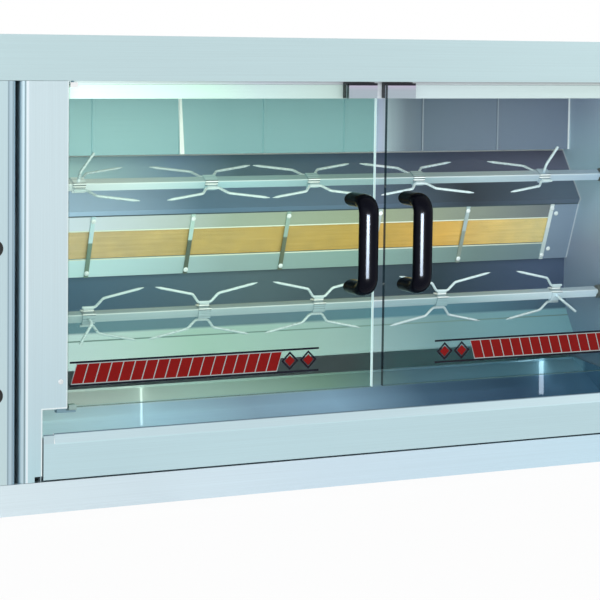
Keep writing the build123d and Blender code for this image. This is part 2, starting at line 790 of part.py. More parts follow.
# Cable gland
gland_rim = 3.0
gland_outside = 12.0
gland_inside = 14.0
gland_nut = 5.0
gland_rounding = 3.0
with BuildPart() as cable_gland:
    rod((gland_x, rear - sheet, gland_z), (gland_x, rear + gland_outside, gland_z),
        gland_thread_radius + gland_rim)
    rod((gland_x, rear - gland_inside, gland_z), (gland_x, rear - sheet, gland_z), gland_thread_radius)
    rod((gland_x, rear - 2 * sheet - gland_nut, gland_z), (gland_x, rear - 2 * sheet, gland_z),
        gland_thread_radius + gland_rim)
    rod((gland_x, rear - gland_inside, gland_z), (gland_x, rear + gland_outside, gland_z),
        cable_hole_radius, Mode.SUBTRACT)
    mouth = cable_gland.edges().filter_by(GeomType.CIRCLE).group_by(Axis.Y)[-1]
    fillet(mouth.sort_by(SortBy.RADIUS)[-1], gland_rounding)
finish(cable_gland, "cable_gland")

# Screws: case edges, posts and burners
with BuildPart() as fixing_screws:
    stem = screw_radius - shaft_play
    for z in edge_screw_zs:
        for x in rear_screw_xs:
            rod((x, rear, z), (x, rear + screw_head_height, z), screw_head_radius)
            rod((x, rear, z), (x, rear - screw_grip, z), stem)
        for y in side_screw_ys:
            rod((left, y, z), (left - screw_head_height, y, z), screw_head_radius)
            rod((left, y, z), (left + screw_grip, y, z), stem)
            rod((right, y, z), (right + screw_head_height, y, z), screw_head_radius)
            rod((right, y, z), (right - screw_grip, y, z), stem)
    for x in (opening_left - post_screw_inset, opening_right + post_screw_inset):
        z = high(post_screw_height)
        rod((x, front, z), (x, front - screw_head_height, z), screw_head_radius)
        rod((x, front, z), (x, wall_front + bracket_plate, z), stem)
    for face in (lower_face, upper_face):
        for x, y in burner_screws:
            height = strap_thickness if x in strap_xs else 0.0
            with BuildSketch(face.offset(height)) as head:
                with Locations((x, y)):
                    Circle(screw_head_radius)
            extrude(head.sketch, amount=screw_head_height)
            with BuildSketch(face.offset(height)) as shank:
                with Locations((x, y)):
                    Circle(stem)
            extrude(shank.sketch, amount=-(height + 2 * burner_skin))
finish(fixing_screws, "fixing_screws")

# Doors
handle_inset = 32.5
handle_height = 328.0
handle_pitch = 117.0
handle_half_width = 14.0
handle_half_depth = 9.5
handle_bend = 17.0
handle_screw_radius = 2.5
handle_screw_head = 5.0
handle_screw_head_height = 3.0
handle_screw_length = 14.0
handle_screw_play = 2.0
handle_zs = (high(handle_height) - handle_pitch / 2, high(handle_height) + handle_pitch / 2)
left_handle_x = left_glass_right - handle_inset
right_handle_x = right_glass_left + handle_inset
grip_y = front - handle_reach + handle_half_depth


def door_glass(x_low, x_high, handle_x):
    """A pane with two holes for its handle."""
    with BuildSketch(Plane.XZ.offset(-glass_back)) as pane:
        with Locations(((x_low + x_high) / 2, (glass_bottom + glass_top) / 2)):
            Rectangle(x_high - x_low, glass_top - glass_bottom)
        with Locations(*[(handle_x, z) for z in handle_zs]):
            Circle(handle_screw_radius + seat, mode=Mode.SUBTRACT)
    extrude(pane.sketch, amount=glass_thickness)


def door_handle(x):
    """A bar of oval section bent to a D, with a screw hole in each end."""
    with BuildLine() as route:
        FilletPolyline((x, glass_front, handle_zs[0]), (x, grip_y, handle_zs[0]),
                       (x, grip_y, handle_zs[1]), (x, glass_front, handle_zs[1]), radius=handle_bend)
    start = Plane(origin=(x, glass_front, handle_zs[0]), x_dir=(1, 0, 0), z_dir=(0, -1, 0))
    with BuildSketch(start) as section:
        Ellipse(handle_half_width, handle_half_depth)
    sweep(section.sketch, path=route.line)
    for z in handle_zs:
        rod((x, glass_front, z), (x, glass_front - handle_screw_length, z),
            handle_screw_radius + shaft_play, Mode.SUBTRACT)


def handle_screws(x):
    """Two screws from the back of the pane into the handle."""
    for z in handle_zs:
        rod((x, glass_back, z), (x, glass_back + handle_screw_head_height, z), handle_screw_head)
        rod((x, glass_back, z), (x, glass_front - handle_screw_length + handle_screw_play, z),
            handle_screw_radius)


shoe_width = 10.0
shoe_height = 4.0
shoe_skin = 1.0
upper_web = 2.0


def clip(x_low, x_high, z_low, z_high, skin):
    """A channel of sheet round an edge of the pane."""
    block((x_low, glass_front - skin, z_low), (x_high, glass_back + skin, z_high))
    block((x_low, glass_front, max(z_low, glass_bottom)),
          (x_high, glass_back, min(z_high, glass_top)), Mode.SUBTRACT)


def door_clips(hinge_x, direction, free_x, pivot_x):
    """The catch clip at the free top corner, and the two pivot shoes."""
    far_x = hinge_x + direction * shoe_width
    catch_x = free_x - direction * catch_width
    shoe_left, shoe_right = min(hinge_x, far_x), max(hinge_x, far_x)
    clip(shoe_left, shoe_right, glass_bottom - shoe_web, glass_bottom + shoe_height, shoe_skin)
    clip(shoe_left, shoe_right, glass_top - shoe_height, glass_top + upper_web, shoe_skin)
    clip(min(catch_x, free_x), max(catch_x, free_x), catch_bottom, glass_top + upper_web, clip_skin)
    rod((pivot_x, glass_middle, glass_bottom - shoe_web), (pivot_x, glass_middle, glass_bottom),
        pivot_pin_radius + shaft_play, Mode.SUBTRACT)
    rod((pivot_x, glass_middle, glass_top), (pivot_x, glass_middle, glass_top + upper_web),
        pivot_pin_radius + shaft_play, Mode.SUBTRACT)


left_glass_left = opening_left + door_side_gap
right_glass_right = opening_right - door_side_gap
right_pivot_x = opening_right - pivot_inset

with BuildPart() as left_door_glass:
    door_glass(left_glass_left, left_glass_right, left_handle_x)
finish(left_door_glass, "left_door_glass")

with BuildPart() as right_door_glass:
    door_glass(right_glass_left, right_glass_right, right_handle_x)
finish(right_door_glass, "right_door_glass")

with BuildPart() as left_handle:
    door_handle(left_handle_x)
finish(left_handle, "left_handle")

with BuildPart() as right_handle:
    door_handle(right_handle_x)
finish(right_handle, "right_handle")

with BuildPart() as left_handle_screws:
    handle_screws(left_handle_x)
finish(left_handle_screws, "left_handle_screws")

with BuildPart() as right_handle_screws:
    handle_screws(right_handle_x)
finish(right_handle_screws, "right_handle_screws")

with BuildPart() as left_door_clips:
    door_clips(left_glass_left, 1, left_glass_right, left_pivot_x)
finish(left_door_clips, "left_door_clips")

with BuildPart() as right_door_clips:
    door_clips(right_glass_right, -1, right_glass_left, right_pivot_x)
finish(right_door_clips, "right_door_clips")

# Drip drawer: a pan that deepens towards the front, welded to a front with a tilted finger lip
drawer_left = foot_left + drawer_side_gap
drawer_right = foot_right - drawer_side_gap
drawer_bottom = base_top + drawer_gap
drawer_top = drawer_bottom + drawer_height
pan_left = drawer_left + drawer_side_gap
pan_right = drawer_right - drawer_side_gap
pan_flat_length = 120.0
pan_length = 243.0
pan_rear_rise = 6.0
pan_rim = 3.5
pan_side_drop = 6.0
pan_flat = deep(pan_flat_length)
pan_rear = deep(pan_length)
pan_rear_height = drawer_top + pan_rear_rise
pan_side_top = drawer_top - pan_side_drop
pan_floor = [(deep(sheet), pan_bottom), (pan_flat, pan_bottom), (pan_rear, pan_rear_height)]
pan_outline = pan_floor + [(pan_rear, pan_rear_height + pan_rim), (deep(sheet), pan_side_top)]
pan_cut = [(front, pan_bottom + pan_sheet), (pan_flat, pan_bottom + pan_sheet),
           (pan_rear - pan_sheet, pan_rear_height + pan_sheet / 2),
           (pan_rear - pan_sheet, top), (front, top)]
with BuildPart() as drip_tray:
    side_shape(pan_outline, pan_left, pan_right)
    side_shape(pan_cut, pan_left + pan_sheet, pan_right - pan_sheet, mode=Mode.SUBTRACT)
    block((drawer_left, front, drawer_bottom), (drawer_right, deep(sheet), drawer_top - drawer_lip_height))
    block((drawer_left, front, drawer_bottom), (drawer_left + drawer_lip_inset, deep(sheet), drawer_top))
    block((drawer_right - drawer_lip_inset, front, drawer_bottom), (drawer_right, deep(sheet), drawer_top))
    side_shape([(front, drawer_top - drawer_lip_height), (deep(drawer_lip_depth), drawer_top),
                (deep(drawer_lip_depth + sheet), drawer_top), (deep(sheet), drawer_top - drawer_lip_height)],
               drawer_left + drawer_lip_inset, drawer_right - drawer_lip_inset)
finish(drip_tray, "drip_tray")

# Spits: a square bar with a round journal at its right-hand end, driven by a square socket
socket_gap = 2.0
socket_base = 6.0
spit_shoulder = 3.0
journal_end = 3.0
socket_left = cavity_left + socket_gap
socket_right = socket_left + socket_length
socket_floor = socket_left + socket_base
spit_left = socket_floor + seat
spit_right = bush_inner - spit_shoulder
journal_right = cavity_right - journal_end


def square_bar(x_from, x_to, z, turn, side, mode=Mode.ADD):
    """A square bar along X, turned about its own axis."""
    with BuildSketch(Plane.YZ.offset(x_from)) as section:
        with Locations((spit_y, z)):
            Rectangle(side, side, rotation=turn)
    extrude(section.sketch, amount=x_to - x_from, mode=mode)


def spit(z, turn):
    """A spit with its journal."""
    square_bar(spit_left, spit_right, z, turn, spit_side)
    rod((spit_right, spit_y, z), (journal_right, spit_y, z), journal_radius)


def drive_socket(z, turn):
    """A socket on the output shaft of its gearmotor."""
    rod((socket_left, spit_y, z), (socket_right, spit_y, z), socket_radius)
    rod((gearbox_right - shaft_insert, spit_y, z), (socket_left, spit_y, z), motor_shaft_radius)
    square_bar(socket_floor, socket_right, z, turn, spit_side + 2 * spit_play, Mode.SUBTRACT)


with BuildPart() as upper_spit:
    spit(upper_spit_z, upper_spit_turn)
finish(upper_spit, "upper_spit")

with BuildPart() as lower_spit:
    spit(lower_spit_z, lower_spit_turn)
finish(lower_spit, "lower_spit")

with BuildPart() as upper_drive_socket:
    drive_socket(upper_spit_z, upper_spit_turn)
finish(upper_drive_socket, "upper_drive_socket")

with BuildPart() as lower_drive_socket:
    drive_socket(lower_spit_z, lower_spit_turn)
finish(lower_drive_socket, "lower_drive_socket")


def about_spit(x, z, angle):
    """A plane through the spit: its X runs along the spit and its Y leans back by the angle."""
    lean = radians(angle)
    return Plane(origin=(x, spit_y, z), x_dir=(1, 0, 0), z_dir=(0, -cos(lean), sin(lean)))


def fork_wire(frame, side, sides):
    """One bent wire on a corner of the sleeve, with pointed tines to the left, the right or both."""
    half = fork_sleeve_length / 2
    right_tine = [(half, fork_wire_out), (fork_bend_along, fork_bend_out), (fork_tip_along, fork_tip_out)]
    left_tine = [(-x, y) for x, y in reversed(right_tine)]
    points = (left_tine if "left" in sides else [(-half, fork_wire_out)])
    points = points + (right_tine if "right" in sides else [(half, fork_wire_out)])
    places = [frame.from_local_coords((x, side * y, 0)) for x, y in points]
    with BuildLine() as route:
        FilletPolyline(*places, radius=fork_wire_bend)
    with BuildSketch(Plane(origin=places[0], z_dir=route.line % 0)) as section:
        Circle(fork_wire_radius)
    sweep(section.sketch, path=route.line)
    ends = [(places[0], places[1])] if "left" in sides else []
    ends = ends + ([(places[-1], places[-2])] if "right" in sides else [])
    for tip, before in ends:
        with Locations(Plane(origin=tip, z_dir=tip - before)):
            Cone(fork_wire_radius, fork_point_radius, fork_point_length,
                 align=(Align.CENTER, Align.CENTER, Align.MIN))


def fork(x, z, turn, lean, sides):
    """A square sleeve that slides on the spit, with a wire on a saddle on two opposite faces."""
    frame = about_spit(x, z, lean)
    x_from = x - fork_sleeve_length / 2
    x_to = x + fork_sleeve_length / 2
    square_bar(x_from, x_to, z, turn, fork_sleeve_side)
    saddle_foot = fork_sleeve_side / 2 - fork_saddle_root
    with Locations(frame):
        for side in (1, -1):
            with Locations((0, side * (saddle_foot + fork_wire_out) / 2)):
                Box(fork_saddle_length, fork_wire_out - saddle_foot, fork_saddle_width)
    fork_wire(frame, 1, sides)
    fork_wire(frame, -1, sides)
    square_bar(x_from - sheet, x_to + sheet, z, turn, spit_side + 2 * spit_play, Mode.SUBTRACT)


def clamp_lever(x, z, lean, direction):
    """A bent wire screw that clamps an end fork: a stem square to a face of the sleeve, and an arm."""
    out = about_spit(x, z, lean).y_dir
    foot = Vector(x, spit_y, z)
    start = foot + out * (spit_side / 2 + spit_play)
    elbow = foot + out * lever_stem
    arm = Vector(*direction).normalized() * lever_arm
    rod(tuple(start), tuple(elbow), lever_wire_radius + shaft_play, Mode.SUBTRACT)
    with BuildLine() as route:
        FilletPolyline(start, elbow, elbow + arm, radius=fork_wire_bend)
    with BuildSketch(Plane(origin=start, z_dir=out)) as section:
        Circle(lever_wire_radius)
    sweep(section.sketch, path=route.line)


def fork_places(first, last, slides):
    """X of the five forks of a spit."""
    pitch = (last - first) / (len(slides) + 1)
    room = pitch - 2 * (fork_tip_along + fork_point_length)
    return [first, *[first + i * pitch + slide * room for i, slide in enumerate(slides, start=1)], last]


upper_fork_xs = fork_places(cavity_left + upper_left_fork, cavity_right - upper_right_fork, upper_slides)
lower_fork_xs = fork_places(cavity_left + lower_left_fork, cavity_right - lower_right_fork, lower_slides)
fork_sides = [("right",), ("left", "right"), ("left", "right"), ("left", "right"), ("left",)]

# The upper wires sit on the front and back faces of their sleeves, the lower ones above and below,
# and each lever on a face between them
quarter = 90.0
fork_rows = (("upper", upper_spit_z, upper_spit_turn, quarter - upper_spit_turn, -upper_spit_turn,
              upper_fork_xs, ((3, 0, 4), (3, 0, 4))),
             ("lower", lower_spit_z, lower_spit_turn, -lower_spit_turn, -quarter - lower_spit_turn,
              lower_fork_xs, ((-3, 0, -5), (4, 0, -3))))

for row, z, turn, lean, lever_lean, xs, arms in fork_rows:
    for number, (x, sides) in enumerate(zip(xs, fork_sides), start=1):
        with BuildPart() as one_fork:
            fork(x, z, turn, lean, sides)
            if number == 1:
                clamp_lever(x, z, lever_lean, arms[0])
            if number == len(xs):
                clamp_lever(x, z, lever_lean, arms[1])
        finish(one_fork, f"{row}_fork_{number}")

# Spindles, knobs and buttons
knob_back = front - knob_stand_off
knob_front = knob_back - knob_length
knob_skirt = 9.0
knob_waist = 18.0
knob_bore_depth = 16.0
grip_half = 5.0
for row, z in (("upper", upper_control_z), ("lower", lower_control_z)):
    with BuildPart() as spindle:
        rod((knob_x, knob_back - knob_bore_depth + seat, z), (knob_x, spindle_end, z), spindle_radius)
    finish(spindle, f"{row}_valve_spindle")
    with BuildPart() as knob:
        rod((knob_x, knob_back - knob_skirt, z), (knob_x, knob_back, z), knob_radius)
        rod((knob_x, knob_front, z), (knob_x, knob_back - knob_skirt, z), knob_waist)
        block((knob_x - knob_radius, knob_front - sheet, z - knob_radius),
              (knob_x - grip_half, knob_back - knob_skirt, z + knob_radius), Mode.SUBTRACT)
        block((knob_x + grip_half, knob_front - sheet, z - knob_radius),
              (knob_x + knob_radius, knob_back - knob_skirt, z + knob_radius), Mode.SUBTRACT)
        rod((knob_x, knob_back - knob_bore_depth, z), (knob_x, knob_back, z),
            spindle_radius + shaft_play, Mode.SUBTRACT)
    finish(knob, f"{row}_gas_knob")
    with BuildPart() as button:
        rod((button_x, front - button_out, z), (button_x, deep(button_in), z), button_radius)
        fillet(button.edges().group_by(Axis.Y)[0], button_edge)
    finish(button, f"{row}_igniter_button")

# Rocker of the motor switch, at rest with its upper half pressed in
rocker_plane = Plane(origin=(switch_x, rocker_pivot_y, switch_z), x_dir=(1, 0, 0),
                     z_dir=(0, -cos(radians(rocker_tilt)), sin(radians(rocker_tilt))))
with BuildPart() as motor_switch_rocker:
    with BuildSketch(rocker_plane.offset(-rocker_inside)):
        Rectangle(2 * rocker_half_width, 2 * rocker_half_height)
    extrude(amount=rocker_thickness)
    rod((switch_x - rocker_half_width - rocker_pin_reach, rocker_pivot_y, switch_z),
        (switch_x + rocker_half_width + rocker_pin_reach, rocker_pivot_y, switch_z), rocker_pin_radius)
finish(motor_switch_rocker, "motor_switch_rocker")
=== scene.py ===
import json
from math import cos, pi, radians, sin

import bmesh
import bpy
from mathutils import Matrix, Vector


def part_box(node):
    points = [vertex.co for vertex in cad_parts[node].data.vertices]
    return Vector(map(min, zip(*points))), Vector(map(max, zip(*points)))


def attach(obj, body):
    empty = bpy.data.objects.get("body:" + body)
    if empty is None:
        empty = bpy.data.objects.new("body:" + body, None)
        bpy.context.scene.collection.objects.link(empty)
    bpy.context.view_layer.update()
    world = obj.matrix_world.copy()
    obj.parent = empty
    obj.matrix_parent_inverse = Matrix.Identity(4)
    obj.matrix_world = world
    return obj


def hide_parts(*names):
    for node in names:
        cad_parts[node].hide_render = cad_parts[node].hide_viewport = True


# A counter rotisserie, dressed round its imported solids. Lengths are in metres.

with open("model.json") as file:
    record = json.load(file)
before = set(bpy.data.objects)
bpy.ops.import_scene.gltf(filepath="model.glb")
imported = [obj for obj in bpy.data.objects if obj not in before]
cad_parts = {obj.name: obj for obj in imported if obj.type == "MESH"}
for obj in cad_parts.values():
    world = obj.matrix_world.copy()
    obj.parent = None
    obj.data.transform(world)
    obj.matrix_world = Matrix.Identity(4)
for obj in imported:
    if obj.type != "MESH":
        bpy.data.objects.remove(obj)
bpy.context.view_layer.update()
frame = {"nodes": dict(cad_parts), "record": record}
nodes = frame["nodes"]
bodies = frame["record"]["behaviour"]["bodies"]
body_of = {node: body for body, members in bodies.items() for node in members}


def bare(colour, share):
    """A colour made darker or brighter by a share."""
    return tuple(channel * share for channel in colour[:3]) + (1.0,)


def tone(red, green, blue):
    """The linear colour that the eye reads as this one, from 0 to 255."""
    def linear(value):
        value = value / 255
        return value / 12.92 if value <= 0.04045 else ((value + 0.055) / 1.055) ** 2.4
    return (linear(red), linear(green), linear(blue), 1.0)


WHITE = tone(255, 255, 255)
FASCIA = tone(194, 218, 222)
POST = tone(208, 227, 233)
PANEL = tone(197, 220, 226)
DRAWER = tone(197, 225, 232)
LIT_LIP = tone(196, 219, 226)
EDGE_HIGHLIGHT = tone(222, 240, 244)


# Shader and geometry boards

class Wire:
    """The output of a node. Arithmetic on it adds Math nodes."""

    def __init__(self, board, socket):
        self.board = board
        self.socket = socket

    def maths(self, operation, *values):
        return self.board.node("ShaderNodeMath", {"operation": operation}, dict(enumerate(values)))

    def __add__(self, other):
        return self.maths("ADD", self, other)

    def __radd__(self, other):
        return self.maths("ADD", other, self)

    def __sub__(self, other):
        return self.maths("SUBTRACT", self, other)

    def __rsub__(self, other):
        return self.maths("SUBTRACT", other, self)

    def __mul__(self, other):
        return self.maths("MULTIPLY", self, other)

    def __rmul__(self, other):
        return self.maths("MULTIPLY", other, self)

    def __truediv__(self, other):
        return self.maths("DIVIDE", self, other)

    def __gt__(self, other):
        return self.maths("GREATER_THAN", self, other)

    def __lt__(self, other):
        return self.maths("LESS_THAN", self, other)

    def size(self):
        return self.maths("ABSOLUTE", self)

    def held(self):
        """The value, kept between 0 and 1."""
        return self.maths("MINIMUM", self.maths("MAXIMUM", self, 0.0), 1.0)

    def larger(self, other):
        return self.maths("MAXIMUM", self, other)


class Board:
    """A node tree, with one way to add a node to it."""

    def __init__(self, tree):
        self.tree = tree

    def connect(self, node, socket, value):
        if isinstance(value, Wire):
            self.tree.links.new(value.socket, node.inputs[socket])
        else:
            node.inputs[socket].default_value = value

    def node(self, kind, settings=None, inputs=None, output=0):
        """Adds a node with its settings and the values or wires of its sockets."""
        node = self.tree.nodes.new(kind)
        for name, value in (settings or {}).items():
            if name == "stops":
                band = node.color_ramp
                while len(band.elements) < len(value):
                    band.elements.new(1.0)
                for stop, (position, colour) in zip(band.elements, value):
                    stop.position = position
                    stop.color = colour
            else:
                setattr(node, name, value)
        for name, value in (inputs or {}).items():
            self.connect(node, name, value)
        return Wire(self, node.outputs[output])


class Finish(Board):
    """A material, built node by node round one shader."""

    def __init__(self, name, **constants):
        self.material = bpy.data.materials.new(name)
        self.material.use_nodes = True
        super().__init__(self.material.node_tree)
        self.tree.nodes.clear()
        self.output = self.tree.nodes.new("ShaderNodeOutputMaterial")
        self.shader = self.tree.nodes.new("ShaderNodeBsdfPrincipled")
        self.tree.links.new(self.shader.outputs[0], self.output.inputs["Surface"])
        for socket, value in constants.items():
            self.give(socket.replace("_", " "), value)

    def give(self, socket, value):
        """Sets one socket of the shader, to a number, a colour or a wire."""
        self.connect(self.shader, socket, value)

    def place(self):
        return self.node("ShaderNodeTexCoord", output="Object")

    def axis(self, letter):
        return self.node("ShaderNodeSeparateXYZ", inputs={0: self.place()}, output=letter)

    def stretched(self, scale):
        """The place on the piece, multiplied along each axis."""
        return self.node("ShaderNodeMapping", inputs={"Vector": self.place(), "Scale": scale})

    def noise(self, scale, detail=2.0, place=None):
        return self.node("ShaderNodeTexNoise", inputs={
            "Vector": place or self.place(), "Scale": scale, "Detail": detail})

    def along(self, letter, stops):
        """A colour that changes along an axis, from (metres, colour) stops."""
        first, last = stops[0][0], stops[-1][0]
        share = (self.axis(letter) - first) / (last - first)
        even = [((at - first) / (last - first), colour) for at, colour in stops]
        return self.node("ShaderNodeValToRGB", {"stops": even}, {0: share})

    def blend(self, share, low, high, way="MIX"):
        """A colour between two, by a share of 0 to 1."""
        return self.node("ShaderNodeMix", {"data_type": "RGBA", "blend_type": way},
                         {0: share, 6: low, 7: high}, output=2)

    def between(self, share, low, high):
        """A number between two, by a share of 0 to 1."""
        return share * (high - low) + low

    def band(self, letter, low, high, soft=0.0004):
        """A share of 1 between two places on an axis, with soft sides."""
        half = (high - low) / 2
        away = (self.axis(letter) - (low + half)).size()
        return ((half + soft / 2 - away) / soft).held()

    def beyond(self, letter, start, soft=0.0004):
        """A share of 1 past a place on an axis."""
        return ((self.axis(letter) - start) / soft + 0.5).held()

    def bump(self, height, distance, strength=1.0):
        self.give("Normal", self.node("ShaderNodeBump", inputs={
            "Height": height, "Distance": distance, "Strength": strength}))

    def pass_light(self, share, pale):
        """Lets light through the piece, except where share is 1."""
        clear = self.node("ShaderNodeBsdfTransparent", inputs={"Color": pale})
        solid = Wire(self, self.shader.outputs[0])
        self.connect(self.output, "Surface",
                     self.node("ShaderNodeMixShader", inputs={0: share, 1: clear, 2: solid}))


class Pattern(Board):
    """A Geometry Nodes tree with named inputs, which is baked into a plain mesh."""

    def __init__(self, name):
        super().__init__(bpy.data.node_groups.new(name, "GeometryNodeTree"))
        for way in ("INPUT", "OUTPUT"):
            self.tree.interface.new_socket("Geometry", in_out=way, socket_type="NodeSocketGeometry")
        self.source = self.tree.nodes.new("NodeGroupInput")
        self.result = self.tree.nodes.new("NodeGroupOutput")
        self.identifiers = {}

    def geometry(self):
        return Wire(self, self.source.outputs["Geometry"])

    def field(self, name, kind="NodeSocketFloat"):
        """Adds a named input."""
        socket = self.tree.interface.new_socket(name, in_out="INPUT", socket_type=kind)
        self.identifiers[name] = socket.identifier
        return Wire(self, self.source.outputs[name])

    def end(self, geometry, material):
        whole = self.node("GeometryNodeRealizeInstances", inputs={0: geometry})
        self.connect(self.result, 0, self.node("GeometryNodeSetMaterial",
                                               inputs={"Geometry": whole, "Material": material}))

    def bake(self, piece, **values):
        """Runs the tree on a piece and leaves its result as a plain mesh."""
        modifier = piece.modifiers.new(self.tree.name, "NODES")
        modifier.node_group = self.tree
        for name, value in values.items():
            modifier[self.identifiers[name]] = value
        piece.data = settled(piece, modifier)
        piece.data.name = piece.name
        return piece


# Pieces

def new_piece(name, data):
    piece = bpy.data.objects.new(name, data)
    bpy.context.scene.collection.objects.link(piece)
    return piece


def settled(piece, modifier):
    """The mesh that a modifier gives. The modifier is taken off."""
    mesh = bpy.data.meshes.new_from_object(piece.evaluated_get(bpy.context.evaluated_depsgraph_get()))
    piece.modifiers.remove(modifier)
    return mesh


def mesh_piece(name, work):
    """A piece from a bmesh, with its normals outward."""
    bmesh.ops.recalc_face_normals(work, faces=work.faces)
    mesh = bpy.data.meshes.new(name)
    work.to_mesh(mesh)
    work.free()
    return new_piece(name, mesh)


def wear(finish, *pieces):
    """Puts a finish on pieces, CAD nodes among them."""
    for piece in pieces:
        target = nodes[piece] if isinstance(piece, str) else piece
        target.data.materials.clear()
        target.data.materials.append(finish.material)


def stand_for(piece, node):
    """Lets a piece take the place of a CAD node."""
    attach(piece, body_of[node])
    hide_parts(node)


weld_distance = 0.000002
hard_angle = radians(35.0)
long_edge = 0.008


def eased(node, finish, rounding=0.0004, edge_finish=None):
    """A copy of a folded sheet whose long edges are rounded and carry a painted highlight, a brighter finish.
    """
    name = node + "_eased"
    work = bmesh.new()
    work.from_mesh(nodes[node].data)
    bmesh.ops.remove_doubles(work, verts=work.verts, dist=weld_distance)
    bmesh.ops.dissolve_limit(work, angle_limit=radians(1.0), verts=work.verts, edges=work.edges)
    sharp = [edge for edge in work.edges if edge.is_manifold
             and edge.calc_face_angle() > hard_angle and edge.calc_length() > long_edge]
    bmesh.ops.bevel(work, geom=sharp, offset=rounding, offset_type="OFFSET", segments=2, profile=0.5,
                    affect="EDGES", clamp_overlap=False, material=1)
    for face in work.faces:
        face.smooth = True
    for edge in work.edges:
        edge.smooth = edge.is_manifold and edge.calc_face_angle() < hard_angle
    mesh = bpy.data.meshes.new(name)
    work.to_mesh(mesh)
    work.free()
    loose = mesh.attributes.get("custom_normal")
    if loose:
        mesh.attributes.remove(loose)
    piece = new_piece(name, mesh)
    flats = piece.modifiers.new("flats", "WEIGHTED_NORMAL")
    flats.keep_sharp = True
    flats.weight = 100
    piece.data = settled(piece, flats)
    wear(finish, piece)
    piece.data.materials.append((edge_finish or cut_edge).material)
    stand_for(piece, node)
    return piece


# Case

GRAINS = {"X": (5.0, 1100.0, 1100.0), "Z": (1100.0, 1100.0, 5.0)}


def brushed(finish, colour, grain="X", roughness=0.36, depth=0.25, contrast=0.07):
    """Gives a finish a fine grain along one axis."""
    lines = finish.noise(1.0, 3.0, finish.stretched(GRAINS[grain]))
    clouds = finish.noise(4.0, 2.0)
    shade = finish.blend(lines, bare(WHITE, 1.0 - contrast), bare(WHITE, 1.0 + contrast))
    finish.give("Base Color", finish.blend(1.0, colour, shade, "MULTIPLY"))
    finish.give("Roughness", finish.between(lines * 0.6 + clouds * 0.4, roughness - 0.07, roughness + 0.07))
    finish.bump(lines, 0.00003, depth)
    return finish


def sheet_steel(name, colour, grain="X", roughness=0.36, metal=0.85):
    return brushed(Finish(name, Metallic=metal), colour, grain, roughness)


# A painted highlight: the finish of rounded edges, brighter than the sheets
cut_edge = Finish("cut_edge", Metallic=0.7)
cut_edge.give("Base Color", cut_edge.blend(cut_edge.noise(60.0), bare(EDGE_HIGHLIGHT, 0.94), EDGE_HIGHLIGHT))
cut_edge.give("Roughness", cut_edge.between(cut_edge.noise(240.0), 0.26, 0.36))

eased("top_cover", sheet_steel("fascia_steel", FASCIA))
base = Finish("base_steel", Metallic=0.85)
# Painted light: the base is paler at the left and bluer at the right
base_light_tones = [(-0.575, tone(228, 243, 248)), (0.0, tone(210, 230, 242)), (0.575, tone(200, 230, 244))]
eased("base_frame", brushed(base, base.along("X", base_light_tones)))
eased("left_side_panel", sheet_steel("side_steel", FASCIA, "Z"))
eased("right_side_panel", sheet_steel("right_side_steel", FASCIA, "Z"))
rear = Finish("rear_steel")
sheet_thickness = 0.0012
inside = (rear.axis("Y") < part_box("rear_panel")[1].y - sheet_thickness)
inside_tones = [(0.25, tone(205, 215, 225)), (0.35, tone(195, 250, 255))]
brushed(rear, rear.blend(inside, FASCIA, rear.along("X", inside_tones)))
rear.give("Metallic", rear.between(inside, 0.85, 0.1))
eased("rear_panel", rear)

post_low, post_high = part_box("left_post")
panel_low, panel_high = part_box("control_panel")
panel = Finish("panel_steel", Metallic=0.85)
# Painted light on the panel: paler towards the bottom, a bluish painted reflection on the rounded fold along
# its right edge, and two dark lines of painted shade in that fold
fold_reflection_width = 0.0115
inner_fold, outer_fold = [(panel_high.x - start, panel_high.x - end) for start, end in (
    (0.0114, 0.0100), (0.0056, 0.0042))]
panel_height_shading = panel.along("Z", [
    (panel_low.z, tone(202, 225, 228)), (panel_low.z + 0.2, PANEL), (panel_high.z, PANEL)])
fold_reflection = panel.blend(panel.beyond("X", panel_high.x - fold_reflection_width, 0.003), panel_height_shading,
                     tone(180, 204, 216))
fold_shade = panel.band("X", *inner_fold, 0.001).larger(panel.band("X", *outer_fold, 0.001))
brushed(panel, panel.blend(fold_shade, fold_reflection, tone(136, 160, 172)), "Z")
eased("control_panel", panel)

post = Finish("post_steel", Metallic=0.85)
# Painted light on the post: darker and bluer towards its foot, painted shade on the flange and in the crease
# of the fold at its left side, a painted highlight on the crest of that fold, and painted highlights along
# its right edge, the edge of its foot and the top of its notch
crease_start, flange_width = 0.0056, 0.0074
crest_start, crest_end = 0.0084, 0.0112
foot_width, lit_edge = 0.030, 0.0018
post_height_shading = post.along("Z", [
    (0.05, tone(190, 222, 230)), (0.14, tone(198, 222, 230)), (0.3, tone(206, 226, 232)), (0.4, POST)])
flange_shade = post.blend(post.beyond("X", post_low.x + flange_width, 0.0006), tone(182, 205, 214), post_height_shading)
crease_shade = post.band("X", post_low.x + crease_start, post_low.x + flange_width, 0.0008)
crest_highlight = post.band("X", post_low.x + crest_start, post_low.x + crest_end, 0.001)
shaded_creases = post.blend(crest_highlight, post.blend(crease_shade, flange_shade, tone(130, 152, 160)), tone(236, 248, 255))
post_foot = post_low.x + foot_width
post_notch = min(vert.co.z for vert in nodes["left_post"].data.vertices if vert.co.x > post_foot + 0.001)
above_notch = post.beyond("Z", post_notch)
lit_edges = post.beyond("X", post_high.x - lit_edge, 0.0008).larger(
    post.band("X", post_foot - lit_edge, post_foot, 0.0008) * (1 - above_notch)).larger(
    post.band("Z", post_notch, post_notch + lit_edge, 0.0008) * post.beyond("X", post_foot - lit_edge))
brushed(post, post.blend(lit_edges, shaded_creases, tone(238, 250, 252)), "Z")
eased("left_post", post)
eased("right_post", sheet_steel("right_post_steel", POST, "Z"))
